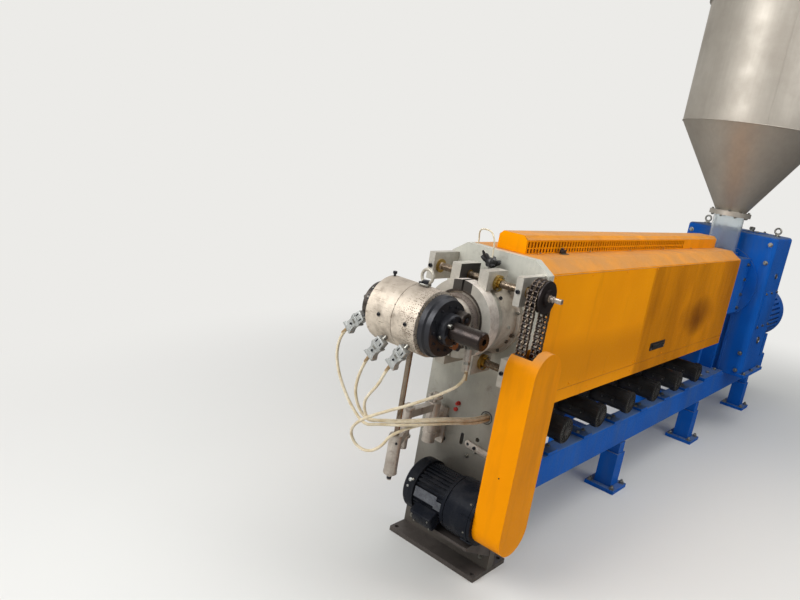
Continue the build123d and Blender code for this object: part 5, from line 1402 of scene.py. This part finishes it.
slab(gear_work, at(GEARBOX_SIDE + 1, GEARBOX_Y, 860), DEEP, ALONG, (300, 260, 5), 2, 0, 2)
for dy in (-135, 0, 135):
    for dz in (-115, 115):
        bolt(gear_work, at(GEARBOX_SIDE + 3.5, GEARBOX_Y + dy, 860 + dz), ALONG, 13, 8, 1)
finish_piece(gear_work, "gearbox_fittings", "machine", [blue_enamel, zinc_bolt_steel])

grille_work = bmesh.new()
grille = at(0, 4370.2, 700)
for radius in (40, 70, 100, 130, 160, 185):
    wire = [(radius - 2.5, 0.5), (radius - 2.5, -2.5), (radius + 2.5, -2.5), (radius + 2.5, 0.5)]
    turned(grille_work, wire, grille, FRONT, 48)
for spoke in range(8):
    way = toward(ALONG, UP, spoke * 45)
    slab(grille_work, grille + DEEP * 0.0012 + way * 0.11, way, DEEP, (156, 7, 2.4), 0.5)
turned(grille_work, [(0, 0.5), (34, 0.5), (34, -3), (0, -3)], grille, FRONT, 32)
slab(grille_work, at(0, 3900, 924), DEEP, UP, (240, 180, 60), 8, 0, 2)
slab(grille_work, at(0, 3900, 958), DEEP, UP, (250, 190, 10), 4, 0, 2)
for dx in (-78, 78):
    for dy in (-106, 106):
        socket_screw(grille_work, at(dx, 3900 + dy, 963), UP, 12, 1)
finish_piece(grille_work, "drive_fittings", "machine", [blue_enamel, zinc_bolt_steel])

# %% [markdown]
# ## Hopper
# The hopper is rolled from stainless sheet. Its rim is rolled over a wire, a weld seam runs down its
# back, a band stiffens the joint with the cone and eight bolts hold its flange to the clear tube.
# The lid has a bow handle, spun through half a turn like a bent rod.

# %% Hopper fittings
HOPPER = (0, 3000.0)
hopper_work = bmesh.new()
for radius, bead, level in ((420.5, 5.0, 2714), (421, 3.2, 1991), (94, 2.6, 1469)):
    circle = [math.radians(index * 45) for index in range(9)]
    section = [(radius + bead * math.cos(angle), bead * math.sin(angle)) for angle in circle]
    turned(hopper_work, section, at(*HOPPER, level), UP, 72)
for degrees in (115, 295):
    way = toward(ALONG, DEEP, degrees)
    slab(hopper_work, at(*HOPPER, 2352) + way * 0.4205, UP, way, (716, 7, 2.2), 0.8)
for level, way, head in ((1468, UP, 8), (1440, -UP, 9)):
    for place in copies(8, 109, at(*HOPPER, level), way, 0.2):
        bolt(hopper_work, place, way, 13, head, 1)
rod = bmesh.ops.create_circle(hopper_work, segments=12, radius=0.007)["verts"]
bmesh.ops.translate(hopper_work, vec=ALONG * 0.055, verts=rod)
bow = bmesh.ops.spin(hopper_work, geom=rod + edges_at(rod), cent=(0, 0, 0), axis=DEEP, angle=-math.pi, steps=16)
handle = connected(rod + vertices_in(bow["geom_last"]))
bmesh.ops.scale(hopper_work, vec=(1, 1, 0.7), verts=handle)
bmesh.ops.translate(hopper_work, vec=at(*HOPPER, 2776), verts=handle)
for degrees in (0, 120, 240):
    way = toward(ALONG, DEEP, degrees)
    slab(hopper_work, at(*HOPPER, 2712) + way * 0.437, UP, way, (34, 22, 7), 2, 1, 2)
finish_piece(hopper_work, "hopper_fittings", "machine", [hopper_stainless, zinc_bolt_steel])

# %% [markdown]
# ## Floor
# The machine stands on a plain pale floor that fades into the backdrop and keeps the machine's
# shadow. Glossy paint would mirror it as one white sheet, which washes the colours out. So the rays
# that bounce off gloss see a floor that darkens towards the right rear.

# %% Floor
BACKDROP = "#ECEBE8"
SHADE_WAY = (0.75, 0.66, 0.0)           # towards the right rear


def pale_floor():
    """A pale matt floor that keeps the shadow near the machine and fades into the backdrop further out."""
    material, tree, shader, here = start_finish("pale_floor", Roughness=0.7)
    flat = add_node(tree, "VectorMath", {0: here, 1: (1.0, 0.62, 0.0)}, operation="MULTIPLY")
    away = add_node(tree, "VectorMath", {0: flat}, operation="LENGTH")
    fade = add_node(tree, "MapRange", {"Value": away, "From Min": 1.3, "From Max": 3.2},
                    interpolation_type="SMOOTHSTEP")
    aisle = add_node(tree, "VectorMath", {0: here, 1: SHADE_WAY}, operation="DOT_PRODUCT")
    aisle = add_node(tree, "MapRange", {"Value": aisle, "From Min": -0.6, "From Max": 2.2})
    mirrored = add_node(tree, "Mix", {0: aisle, 6: colour("#BDB9B1"), 7: colour("#4C4843")}, data_type="RGBA")
    rays = add_node(tree, "LightPath").outputs
    tone = add_node(tree, "Mix", {0: rays["Is Glossy Ray"], 6: colour("#DAD9D5"), 7: mirrored},
                    data_type="RGBA")
    connect(tree, shader, {"Base Color": tone})
    seen = add_node(tree, "Math", {0: rays["Is Camera Ray"], 1: rays["Is Transmission Ray"]},
                    operation="MAXIMUM")
    share = add_node(tree, "Math", {0: fade, 1: seen}, operation="MULTIPLY")
    backdrop = add_node(tree, "Emission", {"Color": colour(BACKDROP), "Strength": 1.0})
    mixed = add_node(tree, "MixShader", {0: share, 1: shader, 2: backdrop})
    connect(tree, tree.nodes["Material Output"], {"Surface": mixed})
    return material


floor_work = bmesh.new()
bmesh.ops.create_grid(floor_work, x_segments=1, y_segments=1, size=20)
floor_mesh = bpy.data.meshes.new("floor")
floor_work.to_mesh(floor_mesh)
floor_work.free()
floor = bpy.data.objects.new("floor", floor_mesh)
floor_mesh.materials.append(pale_floor())
bpy.context.scene.collection.objects.link(floor)
print("floor laid")

# %% [markdown]
# ## Light
# A large soft light from the front left gives the forms their shade, a weaker one fills from the
# right rear and a third hangs over the barrel. A pale world lights the rest. The camera sees it as
# the backdrop, and gloss sees it darken to the right rear as the floor does.

# %% Light
def area_light(name, place, target, size, power):
    """A square soft light at a place, aimed at a target, both in metres from the crosshead."""
    data = bpy.data.lights.new(name, "AREA")
    data.shape = "SQUARE"
    data.size = size
    data.energy = power
    light = bpy.data.objects.new(name, data)
    bpy.context.scene.collection.objects.link(light)
    away = Vector(place) - Vector(target)
    light.matrix_world = Matrix.Translation(at(0, 0, LINE) + Vector(place)) @ facing(away)


area_light("key", (-1.2, -3.4, 2.5), (0, 0, 0), 2.8, 196)
area_light("fill", (2.3, 1.7, 1.9), (0.2, 1.0, 0.15), 1.6, 29)
area_light("top", (0.5, 2.2, 4.2), (0, 2.0, 0), 3.6, 116)

world = bpy.data.worlds.new("workshop")
bpy.context.scene.world = world
world.use_nodes = True
tree = world.node_tree
background = tree.nodes["Background"]
connect(tree, background, {"Color": colour("#D6DADE"), "Strength": 0.55})
looking = add_node(tree, "TexCoord").outputs["Generated"]
aisle = add_node(tree, "VectorMath", {0: looking, 1: SHADE_WAY}, operation="DOT_PRODUCT")
bright = add_node(tree, "MapRange", {"Value": aisle, "From Min": -0.1, "From Max": 0.8, "To Min": 0.88,
                                     "To Max": 0.14})
mirrored = add_node(tree, "Background", {"Color": colour("#E6E4DF"), "Strength": bright})
backdrop = add_node(tree, "Background", {"Color": colour(BACKDROP), "Strength": 1.0})
rays = add_node(tree, "LightPath").outputs
seen = add_node(tree, "Math", {0: rays["Is Camera Ray"], 1: rays["Is Transmission Ray"]}, operation="MAXIMUM")
either = add_node(tree, "MixShader", {0: rays["Is Glossy Ray"], 1: background, 2: mirrored})
either = add_node(tree, "MixShader", {0: seen, 1: either, 2: backdrop})
connect(tree, tree.nodes["World Output"], {"Surface": either})
bpy.context.scene.view_settings.view_transform = "Standard"
print("lit")
